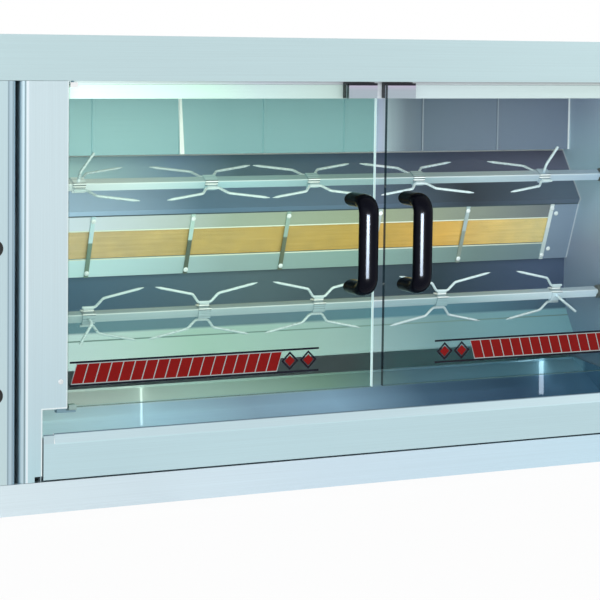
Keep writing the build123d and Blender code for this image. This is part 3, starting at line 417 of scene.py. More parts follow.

# Drawer: its front is like the case, and its pan carries a painted reflection of the cavity, pale at the left
# and dark at the right
tray_low, tray_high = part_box("drip_tray")
tray = Finish("drawer_steel")
pan_reflection_ahead = [
    (-0.365, tone(220, 252, 252)), (-0.18, tone(180, 220, 235)), (-0.03, tone(145, 175, 195)),
    (0.1, tone(145, 180, 205)), (0.25, tone(78, 108, 132)), (0.4, tone(62, 90, 114)),
    (0.53, tone(80, 122, 150))]
pan_reflection_behind = [
    (-0.33, tone(250, 252, 250)), (-0.1, tone(205, 230, 225)), (0.1, tone(150, 180, 168)),
    (0.25, tone(104, 138, 154)), (0.4, tone(98, 140, 158)), (0.53, tone(122, 168, 188))]
pan_fold_y, front_depth = -0.0035, 0.0115
pan_reflection = tray.blend(tray.beyond("Y", pan_fold_y, 0.01), tray.along("X", pan_reflection_ahead),
                        tray.along("X", pan_reflection_behind))
# On the front: the inclined lip in a lit tone of its own, a painted shade line along its top, a painted
# highlight at its left end, and painted light that falls off towards the right
lip_drop, lip_inset, step_width = 0.0095, 0.014, 0.0012
lip_top = tray_high.z - lip_drop
front_tones = tray.along("Z", [
    (tray_low.z, DRAWER), (lip_top - 0.0125, DRAWER), (lip_top - 0.0105, LIT_LIP), (lip_top - 0.0016, LIT_LIP),
    (lip_top - 0.0008, tone(112, 136, 150))])
lip_start = tray_low.x + lip_inset
lip_corner_highlight = tray.band("X", lip_start, lip_start + step_width) * tray.beyond("Z", lip_top - 0.012)
front_light_falloff = tray.along("X", [(-0.4, WHITE), (0.0, bare(WHITE, 0.96)), (0.5, bare(WHITE, 0.94))])
front_colour = tray.blend(lip_corner_highlight * 0.8, tray.blend(1.0, front_tones, front_light_falloff, "MULTIPLY"), WHITE)
in_pan = tray.beyond("Y", tray_low.y + front_depth)
brushed(tray, tray.blend(in_pan, front_colour, pan_reflection))
tray.give("Metallic", tray.between(in_pan, 0.85, 0.25))
tray.give("Roughness", tray.between(in_pan, 0.36, 0.1))
eased("drip_tray", tray)

# Cavity
wall_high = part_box("upper_back_wall")[1]
wall = Finish("back_wall_steel", Metallic=0.2)
# Painted light on the back wall: pale at the left, with a pale painted reflection near the middle, and dark
# at the right
wall_light_tones = [
    (-0.36, tone(184, 220, 228)), (-0.05, tone(140, 177, 185)), (0.185, tone(130, 168, 176)),
    (0.195, tone(160, 172, 194)), (0.21, tone(155, 170, 178)), (0.24, tone(113, 125, 137)),
    (0.27, tone(100, 114, 130)), (0.51, tone(132, 142, 162))]
wall_shading = wall.along("X", wall_light_tones)
# Painted highlights on two ribs, and painted light on a flank of three others that lightens the shade in
# their grooves
rib_highlights = (0.2671, 0.3966)
lit_rib_flanks = (-0.2506, 0.0083, 0.1377)
flank_start, flank_end = 0.0020, 0.0011
for rib in rib_highlights:
    wall_shading = wall.blend(wall.band("X", rib - 0.001, rib + 0.001, 0.001) * 0.2, wall_shading, WHITE)
for rib in lit_rib_flanks:
    flank_light = wall.blend(wall.band("X", rib - flank_start, rib - flank_end, 0.0003), WHITE, bare(WHITE, 1.38))
    wall_shading = wall.blend(1.0, wall_shading, flank_light, "MULTIPLY")
# A painted glint on the second rib: a bright wedge, a lamp's reflection, which leans and widens downwards
wedge_x, wedge_lean, wedge_half, wedge_growth = -0.1249, 0.045, 0.0012, 0.017
drop = wall_high.z - wall.axis("Z")
off_wedge = (wall.axis("X") - wedge_x - drop * wedge_lean).size()
wedge_glint = ((wedge_half + drop * wedge_growth - off_wedge) / 0.0008 + 0.5).held()
# A painted highlight along the corner with the right wall
corner_highlight = wall.beyond("X", wall_high.x - 0.003, 0.001)
brushed(wall, wall.blend(wedge_glint.larger(corner_highlight), wall_shading, WHITE), "X", 0.42)
wear(wall, "upper_back_wall")

housing = Finish("burner_steel", Metallic=0.2)
roof_fold_z, roof_foot, plate_middle = 0.405, 0.3625, 0.32
upper_plate_line, lower_plate_line = (0.3402, 0.3418), (0.2994, 0.3010)
# Painted light on the burner: its roof and the strips above and below the plates are pale at the left and
# dark at the right
roof_low_light = [
    (-0.33, tone(205, 225, 255)), (-0.1, tone(105, 130, 155)), (0.12, tone(105, 125, 148)),
    (0.33, tone(60, 65, 75)), (0.5, tone(100, 112, 130))]
roof_high_light = [
    (-0.33, tone(220, 252, 255)), (-0.13, tone(138, 163, 190)), (-0.03, tone(95, 118, 133)),
    (0.12, tone(90, 108, 130)), (0.3, tone(82, 88, 110)), (0.5, tone(110, 110, 132))]
roof_light = housing.blend(housing.beyond("Z", roof_fold_z, 0.01), housing.along("X", roof_low_light),
                     housing.along("X", roof_high_light))
above_plates_light = [
    (-0.3, tone(232, 235, 250)), (-0.05, tone(165, 175, 160)), (0.2, tone(158, 165, 138)),
    (0.48, tone(128, 132, 135))]
below_plates_light = [
    (-0.3, tone(225, 250, 255)), (-0.19, tone(200, 225, 230)), (-0.05, tone(165, 185, 185)),
    (0.2, tone(150, 178, 170)), (0.36, tone(128, 148, 145)), (0.48, tone(132, 152, 160))]
face = housing.blend(housing.beyond("Z", plate_middle, 0.01), housing.along("X", below_plates_light),
                     housing.along("X", above_plates_light))
# Thin pale lines along the top and bottom of the plates
plate_outline = housing.band("Z", *upper_plate_line).larger(housing.band("Z", *lower_plate_line))
plates_low, plates_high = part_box("burner_ceramics")
face = housing.blend(plate_outline * housing.band("X", plates_low.x, plates_high.x), face, tone(240, 244, 226))
face = housing.blend(housing.beyond("X", plates_high.x + 0.002), face, tone(142, 158, 178))
body = housing.blend(housing.beyond("Z", roof_foot, 0.0006), face, roof_light)
# A painted shade line under the foot of the roof
body = housing.blend(housing.band("Z", roof_foot - 0.0012, roof_foot + 0.0006), body, tone(70, 84, 92))
# Painted highlights along the top rim and the end rim
house_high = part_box("lower_burner_housing")[1]
top_rim = housing.beyond("Z", house_high.z - 0.0018)
end_rim = housing.beyond("X", house_high.x - 0.0022)
rim_highlights = (top_rim * 0.8).larger(end_rim * 0.4)
brushed(housing, housing.blend(rim_highlights, body, WHITE), "X", 0.42)
wear(housing, "lower_burner_housing")
wear(sheet_steel("upper_burner_steel", tone(150, 165, 168), "X", 0.42, 0.5), "upper_burner_housing")

plates = Finish("ceramic_plates", Roughness=0.85)
fired_tones = [
    (-0.35, tone(218, 192, 156)), (-0.1, tone(190, 162, 105)), (0.2, tone(190, 154, 78)),
    (0.3, tone(212, 166, 85)), (0.48, tone(228, 206, 145))]
fired = plates.along("X", fired_tones)
blotches = plates.noise(42.0, 4.0)
holes = plates.node("ShaderNodeTexVoronoi", inputs={"Vector": plates.place(), "Scale": 420.0})
streaks = plates.noise(1.0, 3.0, plates.stretched((14.0, 14.0, 380.0)))
pores = (holes * 3.0).held()
# Random blotches and streaks, and painted shade in the pores
wear_and_pore_shade = plates.blend(blotches, (0.80, 0.83, 0.92, 1.0), (1.16, 1.11, 0.96, 1.0))
for share, darker, lighter in ((streaks, (0.80, 0.80, 0.70, 1.0), (1.18, 1.18, 1.24, 1.0)),
                               (pores, bare(WHITE, 0.82), WHITE)):
    wear_and_pore_shade = plates.blend(1.0, wear_and_pore_shade, plates.blend(share, darker, lighter), "MULTIPLY")
plates.give("Base Color", plates.blend(1.0, fired, wear_and_pore_shade, "MULTIPLY"))
plates.bump(pores, 0.0006, 0.6)
wear(plates, "burner_ceramics")

straps = Finish("strap_steel", Metallic=0.2)
# Painted light on the straps: their feet over the plates carry painted shade, and both parts are paler at the
# ends than in the middle
strap_lit_tops = straps.along("X", [
    (-0.27, tone(205, 228, 236)), (-0.12, tone(190, 215, 210)), (0.03, tone(160, 182, 172)),
    (0.33, tone(175, 190, 192)), (0.48, tone(235, 242, 242))])
strap_shaded_feet = straps.along("X", [
    (-0.27, tone(130, 152, 138)), (-0.12, tone(100, 110, 98)), (0.03, tone(110, 116, 96)),
    (0.33, tone(150, 160, 150)), (0.48, tone(225, 235, 235))])
strap_fold_z = 0.324
brushed(straps, straps.blend(straps.beyond("Z", strap_fold_z, 0.002), strap_shaded_feet, strap_lit_tops), "Z", 0.4)
wear(straps, "burner_straps")

lower_wall = Finish("lower_wall_steel", Metallic=0.2)
slope_line, slope_top, spit_reflection_top = (0.1855, 0.1872), 0.196, 0.222
# Painted light on the lower back wall: a painted shadow under the burner, lighter painted tones below the
# spit, and a slope that is pale at the left and dark at the right, with a darker line along its fold
burner_shadow = [
    (-0.3, tone(75, 103, 130)), (0.0, tone(82, 100, 110)), (0.3, tone(42, 58, 70)), (0.48, tone(80, 94, 122))]
slope_light = [
    (-0.3, tone(225, 240, 245)), (-0.1, tone(180, 210, 200)), (0.12, tone(165, 190, 190)),
    (0.3, tone(125, 160, 165)), (0.5, tone(135, 180, 190))]
under_spit_shading = [
    (-0.3, tone(115, 150, 165)), (0.0, tone(102, 128, 142)), (0.28, tone(88, 135, 150)),
    (0.48, tone(85, 110, 130))]
standing = lower_wall.blend(lower_wall.beyond("Z", spit_reflection_top, 0.01),
                            lower_wall.along("X", under_spit_shading), lower_wall.along("X", burner_shadow))
sloping = lower_wall.blend(lower_wall.band("Z", *slope_line), lower_wall.along("X", slope_light),
                           tone(120, 150, 145))
brushed(lower_wall, lower_wall.blend(lower_wall.beyond("Z", slope_top, 0.003), sloping, standing), "X", 0.42)
wear(lower_wall, "lower_back_wall")

# Painted light on the rail: bright at the left and greyer at the right, with a painted shadow under the cover
# along its top
rail_light_tones = [
    (-0.36, tone(222, 240, 240)), (-0.18, tone(186, 205, 204)), (-0.1, tone(175, 184, 194)),
    (0.0, tone(167, 174, 181)), (0.5, tone(167, 176, 176))]
rail = Finish("rail_steel", Metallic=0.2)
cover_shade_z = 0.5488
cover_shadow = rail.blend(rail.beyond("Z", cover_shade_z, 0.0035), WHITE, bare(WHITE, 0.6))
brushed(rail, rail.blend(1.0, rail.along("X", rail_light_tones), cover_shadow, "MULTIPLY"), "X", 0.4)
wear(rail, "cavity_ceiling")
wear(sheet_steel("left_wall_steel", tone(170, 190, 196), "Z", 0.42, 0.5), "left_inner_wall")
# Painted light and shade on the right wall, which change with height
side_wall_shading = [
    (0.14, tone(122, 150, 172)), (0.3, tone(148, 158, 176)), (0.42, tone(178, 208, 222)),
    (0.55, tone(158, 164, 190))]
side_wall = Finish("right_wall_steel", Metallic=0.2)
brushed(side_wall, side_wall.along("Z", side_wall_shading), "Z", 0.42)
wear(side_wall, "right_inner_wall")
wear(sheet_steel("runner_steel", tone(150, 160, 165), "X", 0.42, 0.6), "drawer_runners")

# Spits, forks and drives
# A painted highlight for the rounded edges of the spits: a nearly white finish
polished_edge = Finish("polished_edge")
polished_edge.give("Base Color", polished_edge.blend(polished_edge.noise(60.0), tone(244, 252, 254), WHITE))
polished_edge.give("Roughness", polished_edge.between(polished_edge.noise(240.0), 0.2, 0.3))
# Painted light on the spits and the fork sleeves: tones that change from left to right, painted shade on the
# spits' top faces and a painted highlight along their front ridge
upper_spit_light = [
    (-0.36, tone(250, 252, 255)), (-0.1, tone(172, 205, 215)), (0.15, tone(145, 170, 175)),
    (0.35, tone(180, 196, 206)), (0.5, tone(188, 204, 220))]
lower_spit_light = [
    (-0.36, tone(178, 196, 202)), (0.0, tone(166, 184, 192)), (0.25, tone(150, 176, 182)),
    (0.5, tone(225, 240, 250))]
sleeve_reach, line_margin = 0.0108, 0.0012
rows = (("upper", upper_spit_light, 0.0022, 0.82, ((0.0009, 0.0026), (-0.0026, -0.0008))),
        ("lower", lower_spit_light, 0.0036, 0.7, ((0.0073, 0.0090), (0.0032, 0.0047))))
for row, spit_light_tones, ridge, shade, lines in rows:
    low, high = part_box(f"{row}_spit")
    middle = (low + high) / 2
    sleeve_highlights = [(middle.z + bottom, middle.z + top) for bottom, top in lines]
    spit_steel = Finish(f"{row}_spit_steel", Metallic=0.35)
    front_face = spit_steel.along("X", spit_light_tones)
    shaded_top_face = spit_steel.blend(1.0, front_face, bare(WHITE, shade), "MULTIPLY")
    sides = spit_steel.blend(spit_steel.beyond("Z", middle.z + ridge), front_face, shaded_top_face)
    ridge_highlight = spit_steel.band("Z", middle.z + ridge - 0.0013, middle.z + ridge + 0.0003)
    brushed(spit_steel, spit_steel.blend(ridge_highlight * 0.4, sides, WHITE), "X", 0.3)
    eased(f"{row}_spit", spit_steel, 0.0008, polished_edge)
    fork_steel = Finish(f"{row}_fork_steel", Metallic=0.35)
    off_axis = fork_steel.node("ShaderNodeVectorMath", {"operation": "LENGTH"}, {0: fork_steel.node(
        "ShaderNodeMapping", inputs={"Vector": fork_steel.place(), "Scale": (0.0, 1.0, 1.0),
                                     "Location": (0.0, -middle.y, -middle.z)})}, output=1)
    wires = fork_steel.blend(fork_steel.noise(30.0), tone(192, 206, 210), tone(214, 226, 230))
    is_wire = ((off_axis - sleeve_reach) / 0.0006 + 0.5).held()
    sleeve = fork_steel.along("X", spit_light_tones)
    # Painted highlights on each sleeve: white lines edged with painted shade
    for bottom, top in sleeve_highlights:
        edges = fork_steel.band("Z", bottom - line_margin, top + line_margin)
        sleeve = fork_steel.blend(edges * 0.7, sleeve, tone(86, 98, 100))
    for bottom, top in sleeve_highlights:
        sleeve = fork_steel.blend(fork_steel.band("Z", bottom, top), sleeve, WHITE)
    brushed(fork_steel, fork_steel.blend(is_wire, sleeve, wires), "X", 0.28)
    wear(fork_steel, *[f"{row}_fork_{number}" for number in range(1, 6)])
turned_steel = sheet_steel("turned_steel", tone(190, 200, 204), "X", 0.28, 0.9)
wear(turned_steel, "upper_drive_socket", "lower_drive_socket", "upper_valve_spindle", "lower_valve_spindle")


def cast_finish(name, dark, light, roughness, metal, grain=70.0, depth=0.00008):
    """A mottled finish with a slight orange peel."""
    finish = Finish(name, Metallic=metal)
    spots = finish.noise(grain, 3.0)
    finish.give("Base Color", finish.blend(spots, dark, light))
    finish.give("Roughness", finish.between(finish.noise(grain * 3), roughness - 0.06, roughness + 0.06))
    finish.bump(finish.noise(grain * 12, 2.0), depth, 0.4)
    return finish


wear(cast_finish("brass", tone(168, 140, 84), tone(196, 168, 104), 0.34, 0.9), "gas_valves", "gas_manifold")
wear(cast_finish("bush_bronze", tone(116, 118, 114), tone(136, 138, 134), 0.4, 0.6), "spit_bushes")
wear(cast_finish("pipe_steel", tone(150, 154, 156), tone(176, 180, 182), 0.36, 0.85), "burner_pipes")
wear(cast_finish("motor_paint", tone(82, 88, 92), tone(98, 104, 108), 0.45, 0.2, 200.0, 0.0002), "gearmotors")
wear(cast_finish("magnet_case", tone(16, 20, 25), tone(24, 29, 34), 0.42, 0.0), "door_magnets")
wear(cast_finish("foot_rubber", tone(22, 22, 23), tone(34, 34, 35), 0.8, 0.0, 300.0), "feet")
black_plastic = cast_finish("black_plastic", tone(17, 18, 20), tone(25, 26, 28), 0.42, 0.0, 220.0)
wear(black_plastic, "igniter_bodies", "cable_gland", "motor_switch_housing", "motor_switch_rocker",
     "upper_igniter_button", "lower_igniter_button")
bracket_steel = sheet_steel("bracket_steel", tone(128, 162, 176), "X", 0.4, 0.4)
wear(bracket_steel, "hinge_brackets")
screw_steel = cast_finish("screw_steel", tone(242, 247, 249), tone(253, 255, 255), 0.24, 0.15)
wear(screw_steel, "left_handle_screws", "right_handle_screws")


# Door hardware

shoe_reach = 0.03


def catch_plates(name, node, hinge_side, inward):
    """Door clips: the catch clip at the free corner has a painted shadow along its top, under a dark gap,
    and the two shoes at the hinge side take the painted light and shade of what is round them."""
    finish = Finish(name, Metallic=0.4)
    low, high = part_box(node)
    shaded_catch = finish.along("Z", [
        (high.z - 0.020, tone(176, 190, 200)), (high.z - 0.010, tone(178, 190, 200)),
        (high.z - 0.0034, tone(198, 190, 212)), (high.z - 0.0028, tone(24, 22, 36))])
    shoes = finish.blend(finish.beyond("Z", (low.z + high.z) / 2), tone(158, 186, 180), WHITE)
    at_hinge = ((finish.axis("X") - hinge_side) * inward) < shoe_reach
    brushed(finish, finish.blend(at_hinge, shaded_catch, shoes), "X", 0.36)
    wear(finish, node)


catch_plates("left_clip_steel", "left_door_clips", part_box("left_door_clips")[0].x, 1)
catch_plates("right_clip_steel", "right_door_clips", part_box("right_door_clips")[1].x, -1)

grip = Finish("handle_gloss", Specular_IOR_Level=0.15, IOR=1.25, Specular_Tint=(0.65, 0.8, 1.0, 1.0),
              Coat_Weight=0.02, Coat_Roughness=0.35)
grip.give("Base Color", grip.blend(grip.noise(30.0), tone(1, 1, 2), tone(2, 2, 5)))
grip.give("Roughness", grip.between(grip.noise(18.0), 0.13, 0.17))
wear(grip, "left_handle", "right_handle")


# Panes

pane_sheen = 0.017


def clear_pane(name, node, pale, free_x, edge_tone):
    """Glass with a tinted rim and a free edge painted in a given tone, which also glows: a painted highlight
    on a bright edge, painted shade on a dark one.
    """
    finish = Finish(name, Roughness=0.03, IOR=1.45)
    low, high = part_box(node)
    skin = 0.0003
    free = ((finish.axis("X") - free_x).size() < skin)
    rim = (finish.axis("Z") > high.z - skin).larger(finish.axis("Z") < low.z + skin)
    edges = finish.blend(free, tone(70, 110, 100), edge_tone)
    finish.give("Base Color", edges)
    # A painted glow on the free edge, though the glass is no lamp
    finish.give("Emission Color", finish.blend(free, tone(0, 0, 0), edge_tone))
    finish.give("Emission Strength", 0.45)
    slant = finish.node("ShaderNodeLayerWeight", inputs={"Blend": 0.5}, output="Facing")
    sheen = slant.maths("POWER", slant, 5.0) * (1.0 - pane_sheen) + pane_sheen
    finish.pass_light(sheen.larger(free).larger(rim * 0.7), pale)
    wear(finish, node)


left_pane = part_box("left_door_glass")
right_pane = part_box("right_door_glass")
clear_pane("left_glass", "left_door_glass", (0.90, 0.96, 0.91, 1.0), left_pane[1].x, tone(226, 244, 250))
clear_pane("right_glass", "right_door_glass", (0.93, 0.965, 0.955, 1.0), right_pane[0].x, tone(14, 30, 38))


# Prints on the panes: a row of slanted bars between two lines, and two diamonds at its inner end

def slanted_bars():
    """Bars in a row along X, with a slant."""
    pattern = Pattern("slanted_bars")
    bar = pattern.node("GeometryNodeMeshCube", inputs={"Size": pattern.node("ShaderNodeCombineXYZ", inputs={
        0: pattern.field("width"), 1: pattern.field("thickness"), 2: pattern.field("height")})})
    place = pattern.node("GeometryNodeInputPosition")
    rise = pattern.node("ShaderNodeSeparateXYZ", inputs={0: place}, output=2)
    lean = pattern.node("ShaderNodeCombineXYZ", inputs={0: rise * pattern.field("slant")})
    leaning = pattern.node("GeometryNodeSetPosition", inputs={"Geometry": bar, "Offset": lean})
    row = pattern.node("GeometryNodeMeshLine", inputs={
        "Count": pattern.field("count", "NodeSocketInt"),
        "Start Location": pattern.field("start", "NodeSocketVector"),
        "Offset": pattern.node("ShaderNodeCombineXYZ", inputs={0: pattern.field("pitch")})})
    bars = pattern.node("GeometryNodeInstanceOnPoints", inputs={"Points": row, "Instance": leaning})
    pattern.end(bars, pattern.field("finish", "NodeSocketMaterial"))
    return pattern


def print_ink(name, dark, light):
    finish = Finish(name, Specular_IOR_Level=0.15)
    finish.give("Base Color", finish.blend(finish.noise(90.0, 3.0), dark, light))
    finish.give("Roughness", finish.between(finish.noise(300.0), 0.3, 0.42))
    finish.bump(finish.noise(900.0), 0.00002, 0.3)
    return finish


red_ink = print_ink("red_ink", tone(132, 8, 6), tone(152, 14, 10))
navy_ink = print_ink("navy_ink", tone(10, 12, 28), tone(18, 22, 40))
pale_ink = print_ink("pale_ink", tone(176, 192, 190), tone(190, 204, 202))
print_thickness, print_gap = 0.0001, 0.00003
bars_pattern = slanted_bars()


def outlines(name, shapes, y):
    """Thin flat plates with the given (X, Z) outlines, a film's thickness deep."""
    work = bmesh.new()
    for points in shapes:
        base = [work.verts.new((x, y, z)) for x, z in points]
        sheet = work.faces.new(base)
        grown = bmesh.ops.extrude_face_region(work, geom=[sheet])["geom"]
        front = [item for item in grown if isinstance(item, bmesh.types.BMVert)]
        bmesh.ops.translate(work, verts=front, vec=(0.0, -print_thickness, 0.0))
    return mesh_piece(name, work)


def bar_shape(x_low, x_high, z_low, z_high):
    return [(x_low, z_low), (x_high, z_low), (x_high, z_high), (x_low, z_high)]


def diamond(x, z, half):
    return [(x - half, z), (x, z - half), (x + half, z), (x, z + half)]


def ring_of(x, z, outer, inner):
    """Four strips that frame a diamond."""
    big, small = diamond(x, z, outer), diamond(x, z, inner)
    return [[big[i], big[(i + 1) % 4], small[(i + 1) % 4], small[i]] for i in range(4)]


def door_print(side, x_outer, x_inner, z_low, z_high, glass_y):
    """The print of one door. Its diamonds are at the inner end."""
    inward = 1 if x_inner > x_outer else -1
    y = glass_y - print_gap - print_thickness
    body = side + "_door"
    line, gap, half = 0.0026, 0.0012, 0.0125
    count, pitch, width, slant = 18, 0.0158, 0.0144, 0.3
    outer_margin, inner_margin, diamond_pitch = 0.006, 0.003, 2.15
    hole_share, centre_share, backing_share = 0.72, 0.6, 0.56
    centre = (z_low + z_high) / 2
    height = z_high - z_low - 2 * (line + gap)
    first = x_outer + inward * (width / 2 + outer_margin)
    bars = new_piece(side + "_print_bars", bpy.data.meshes.new("bars"))
    bars_pattern.bake(bars, width=width, thickness=print_thickness, height=height, slant=slant * inward,
                      count=count, start=(first, y - print_thickness / 2, centre), pitch=pitch * inward,
                      finish=red_ink.material)
    ends = sorted((x_outer, x_inner))
    diamonds = [x_inner - inward * (half + inner_margin + step * diamond_pitch * half) for step in range(2)]
    dark = [bar_shape(*ends, z_low, z_low + line), bar_shape(*ends, z_high - line, z_high)]
    for x in diamonds:
        dark += ring_of(x, centre, half, half * hole_share)
    lines = outlines(side + "_print_lines", dark, y)
    wear(navy_ink, lines)
    small_diamonds = [diamond(x, centre, half * centre_share) for x in diamonds]
    centres = outlines(side + "_print_diamonds", small_diamonds, y)
    wear(red_ink, centres)
    near = first - inward * width * backing_share
    far = first + inward * ((count - 1) * pitch + width * backing_share)
    lean = slant * inward * height / 2
    backing = outlines(side + "_print_backing", [[
        (near - lean, z_low + line), (far - lean, z_low + line), (far + lean, z_high - line),
        (near + lean, z_high - line)]], y + print_thickness)
    wear(pale_ink, backing)
    for piece in (bars, lines, centres, backing):
        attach(piece, body)


print_low, print_high, edge_gap = 0.168, 0.200, 0.001
left_print_end, right_print_end = -0.016, 0.160
door_print("left", left_pane[0].x + edge_gap, left_print_end, print_low, print_high, left_pane[0].y)
door_print("right", right_pane[1].x - edge_gap, right_print_end, print_low, print_high, right_pane[0].y)


# Screws with domed heads and a cross recess

def lathe(name, profile, sides):
    """A closed turned shape about Z, from (radius, height) points that start and end on the axis."""
    work = bmesh.new()
    rings = []
    for radius, height in profile:
        if radius == 0.0:
            rings.append([work.verts.new((0.0, 0.0, height))])
        else:
            turns = [2 * pi * i / sides for i in range(sides)]
            rings.append([work.verts.new((radius * cos(turn), radius * sin(turn), height)) for turn in turns])
    for lower, upper in zip(rings[:-1], rings[1:]):
        for i in range(sides):
            corners = [lower[i % len(lower)], lower[(i + 1) % len(lower)],
                       upper[(i + 1) % len(upper)], upper[i % len(upper)]]
            work.faces.new(list(dict.fromkeys(corners)))
    return mesh_piece(name, work)


def screw_model():
    """One screw that stands on the plane Z = 0, with its head above it."""
    shank = [(0.0, -0.0039), (0.00190, -0.0036), (0.00190, 0.0)]
    dome = [(0.0035, 0.0), (0.0036, 0.0003), (0.0033, 0.0012), (0.0025, 0.0017), (0.0014, 0.00195),
            (0.0, 0.0020)]
    head = lathe("screw", shank + dome, 20)
    work = bmesh.new()
    slot_length, slot_width, slot_depth, slot_middle = 0.0036, 0.0007, 0.0024, 0.0022
    for size in ((slot_length, slot_width), (slot_width, slot_length)):
        slot = bmesh.ops.create_cube(work, size=1.0)["verts"]
        bmesh.ops.scale(work, verts=slot, vec=(*size, slot_depth))
        bmesh.ops.translate(work, verts=slot, vec=(0.0, 0.0, slot_middle))
    cutter = mesh_piece("cutter", work)
    cut = head.modifiers.new("recess", "BOOLEAN")
    cut.operation = "DIFFERENCE"
    cut.object = cutter
    cut.use_self = True
    head.data = settled(head, cut)
    bpy.data.objects.remove(cutter)
    for face in head.data.polygons:
        face.use_smooth = True
    head.data.set_sharp_from_angle(angle=radians(40.0))
    return head


def screws_on_points():
    """A screw on each point, square to its facing and turned at random."""
    pattern = Pattern("screws")
    facing = pattern.node("GeometryNodeInputNamedAttribute", {"data_type": "FLOAT_VECTOR"},
                          {"Name": "facing"})
    square = pattern.node("FunctionNodeAlignRotationToVector", {"axis": "Z"}, {"Vector": facing})
    model = pattern.node("GeometryNodeObjectInfo", inputs={
        "Object": pattern.field("screw", "NodeSocketObject")}, output="Geometry")
    placed = pattern.node("GeometryNodeInstanceOnPoints", inputs={
        "Points": pattern.geometry(), "Instance": model, "Rotation": square})
    turn = pattern.node("FunctionNodeRandomValue", {"data_type": "FLOAT"},
                        {"Min": 0.0, "Max": pi, "Seed": 7}, output=1)
    turned = pattern.node("GeometryNodeRotateInstances", inputs={
        "Instances": placed, "Rotation": pattern.node("ShaderNodeCombineXYZ", inputs={2: turn})})
    pattern.end(turned, pattern.field("finish", "NodeSocketMaterial"))
    return pattern


def off_line(point, middle, way):
    """How far a point is from the line through middle along way."""
    arm = point - middle
    return (arm - way * arm.dot(way)).length


def shells_of(work):
    """The vertices of each loose part of a bmesh."""
    seen = set()
    for seed in work.verts:
        if seed in seen:
            continue
        shell, edge = {seed}, [seed]
        while edge:
            for link in edge.pop().link_edges:
                for vert in link.verts:
                    if vert not in shell:
                        shell.add(vert)
                        edge.append(vert)
        seen |= shell
        yield shell


def screw_places():
    """Where the CAD screws stand, found from their heads, and which way each faces."""
    work = bmesh.new()
    work.from_mesh(nodes["fixing_screws"].data)
    bmesh.ops.remove_doubles(work, verts=work.verts, dist=weld_distance)
    places = []
    for shell in shells_of(work):
        faces = {face for vert in shell for face in vert.link_faces}
        caps, ways = {}, {}
        for face in faces:
            key = tuple(round(value, 2) for value in face.normal)
            caps[key] = caps.get(key, 0.0) + face.calc_area()
            ways.setdefault(key, face.normal.copy())
        out = ways[max(caps, key=caps.get)]
        middle = sum((vert.co for vert in shell), Vector()) / len(shell)
        heights = [vert.co.dot(out) for vert in shell]
        rim = max(off_line(vert.co, middle, out) for vert in shell)
        levels = [vert.co.dot(out) for vert in shell if off_line(vert.co, middle, out) > rim * 0.95]
        if max(heights) - max(levels) > min(levels) - min(heights):
            out = -out
            levels = [-level for level in levels]
        seat = min(levels)
        places.append((middle + out * (seat - middle.dot(out)), out))
    work.free()
    return places


screw = screw_model()
found = screw_places()
points = bpy.data.meshes.new("screw_points")
points.from_pydata([place for place, out in found], [], [])
points.attributes.new("facing", "FLOAT_VECTOR", "POINT").data.foreach_set(
    "vector", [value for place, out in found for value in out])
screws = new_piece("case_and_burner_screws", points)
screws_on_points().bake(screws, screw=screw, finish=screw_steel.material)
bpy.data.objects.remove(screw)
stand_for(screws, "fixing_screws")

# Knobs: a white mark along the top of each grip
mark_paint = cast_finish("mark_paint", tone(226, 228, 228), tone(240, 241, 240), 0.5, 0.0, 150.0)
mark_half, mark_foot, mark_top = 0.0007, 0.0155, 0.0065
for row in ("upper", "lower"):
    eased(f"{row}_gas_knob", black_plastic, 0.0009)
    low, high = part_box(f"{row}_gas_knob")
    middle_x = (low.x + high.x) / 2
    stripe = bar_shape(middle_x - mark_half, middle_x + mark_half, high.z - mark_foot, high.z - mark_top)
    mark = outlines(f"{row}_knob_mark", [stripe], low.y)
    wear(mark_paint, mark)
    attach(mark, f"{row}_gas_knob")


# Floor, light and camera

def flat_square(name, half_width, height):
    """A square face at a height."""
    mesh = bpy.data.meshes.new(name)
    corners = [(-half_width, -half_width), (half_width, -half_width),
               (half_width, half_width), (-half_width, half_width)]
    mesh.from_pydata([(x, y, height) for x, y in corners], [], [(0, 1, 2, 3)])
    return new_piece(name, mesh)


def seen_rays(board):
    """A share of 1 for the rays that show a thing, and 0 for those that only light others."""
    camera_ray, glossy_ray, through_ray = [board.node("ShaderNodeLightPath", output=kind) for kind in (
        "Is Camera Ray", "Is Glossy Ray", "Is Transmission Ray")]
    return camera_ray.larger(glossy_ray).larger(through_ray)


floor_glow, floor_end, fade_width, fill_level = 0.96, 5.5, 3.0, 0.55
floor = flat_square("floor", 6.0, 0.0)
ground = Finish("studio_floor", Roughness=0.9)
ground.give("Base Color", (0.93, 0.94, 0.95, 1.0))
reach = ground.node("ShaderNodeVectorMath", {"operation": "LENGTH"}, {0: ground.place()}, output=1)
shaded = Wire(ground, ground.shader.outputs[0])
glow = ground.node("ShaderNodeEmission", inputs={"Color": WHITE})
seen_floor = ground.node("ShaderNodeMixShader", inputs={
    0: seen_rays(ground) * floor_glow, 1: shaded, 2: glow})
clear_floor = ground.node("ShaderNodeBsdfTransparent")
ground.connect(ground.output, "Surface", ground.node("ShaderNodeMixShader", inputs={
    0: ((floor_end - reach) / fade_width).held(), 1: clear_floor, 2: seen_floor}))
wear(ground, floor)

scene = bpy.context.scene
world = bpy.data.worlds.new("studio")
scene.world = world
world.use_nodes = True
sky = Board(world.node_tree)
sky.tree.nodes.clear()
seen = sky.node("ShaderNodeBackground", inputs={"Color": WHITE, "Strength": 1.0})
fill = sky.node("ShaderNodeBackground", inputs={"Color": (0.96, 0.98, 1.0, 1.0), "Strength": fill_level})
sky.connect(sky.tree.nodes.new("ShaderNodeOutputWorld"), "Surface", sky.node("ShaderNodeMixShader", inputs={
    0: seen_rays(sky), 1: fill, 2: seen}))


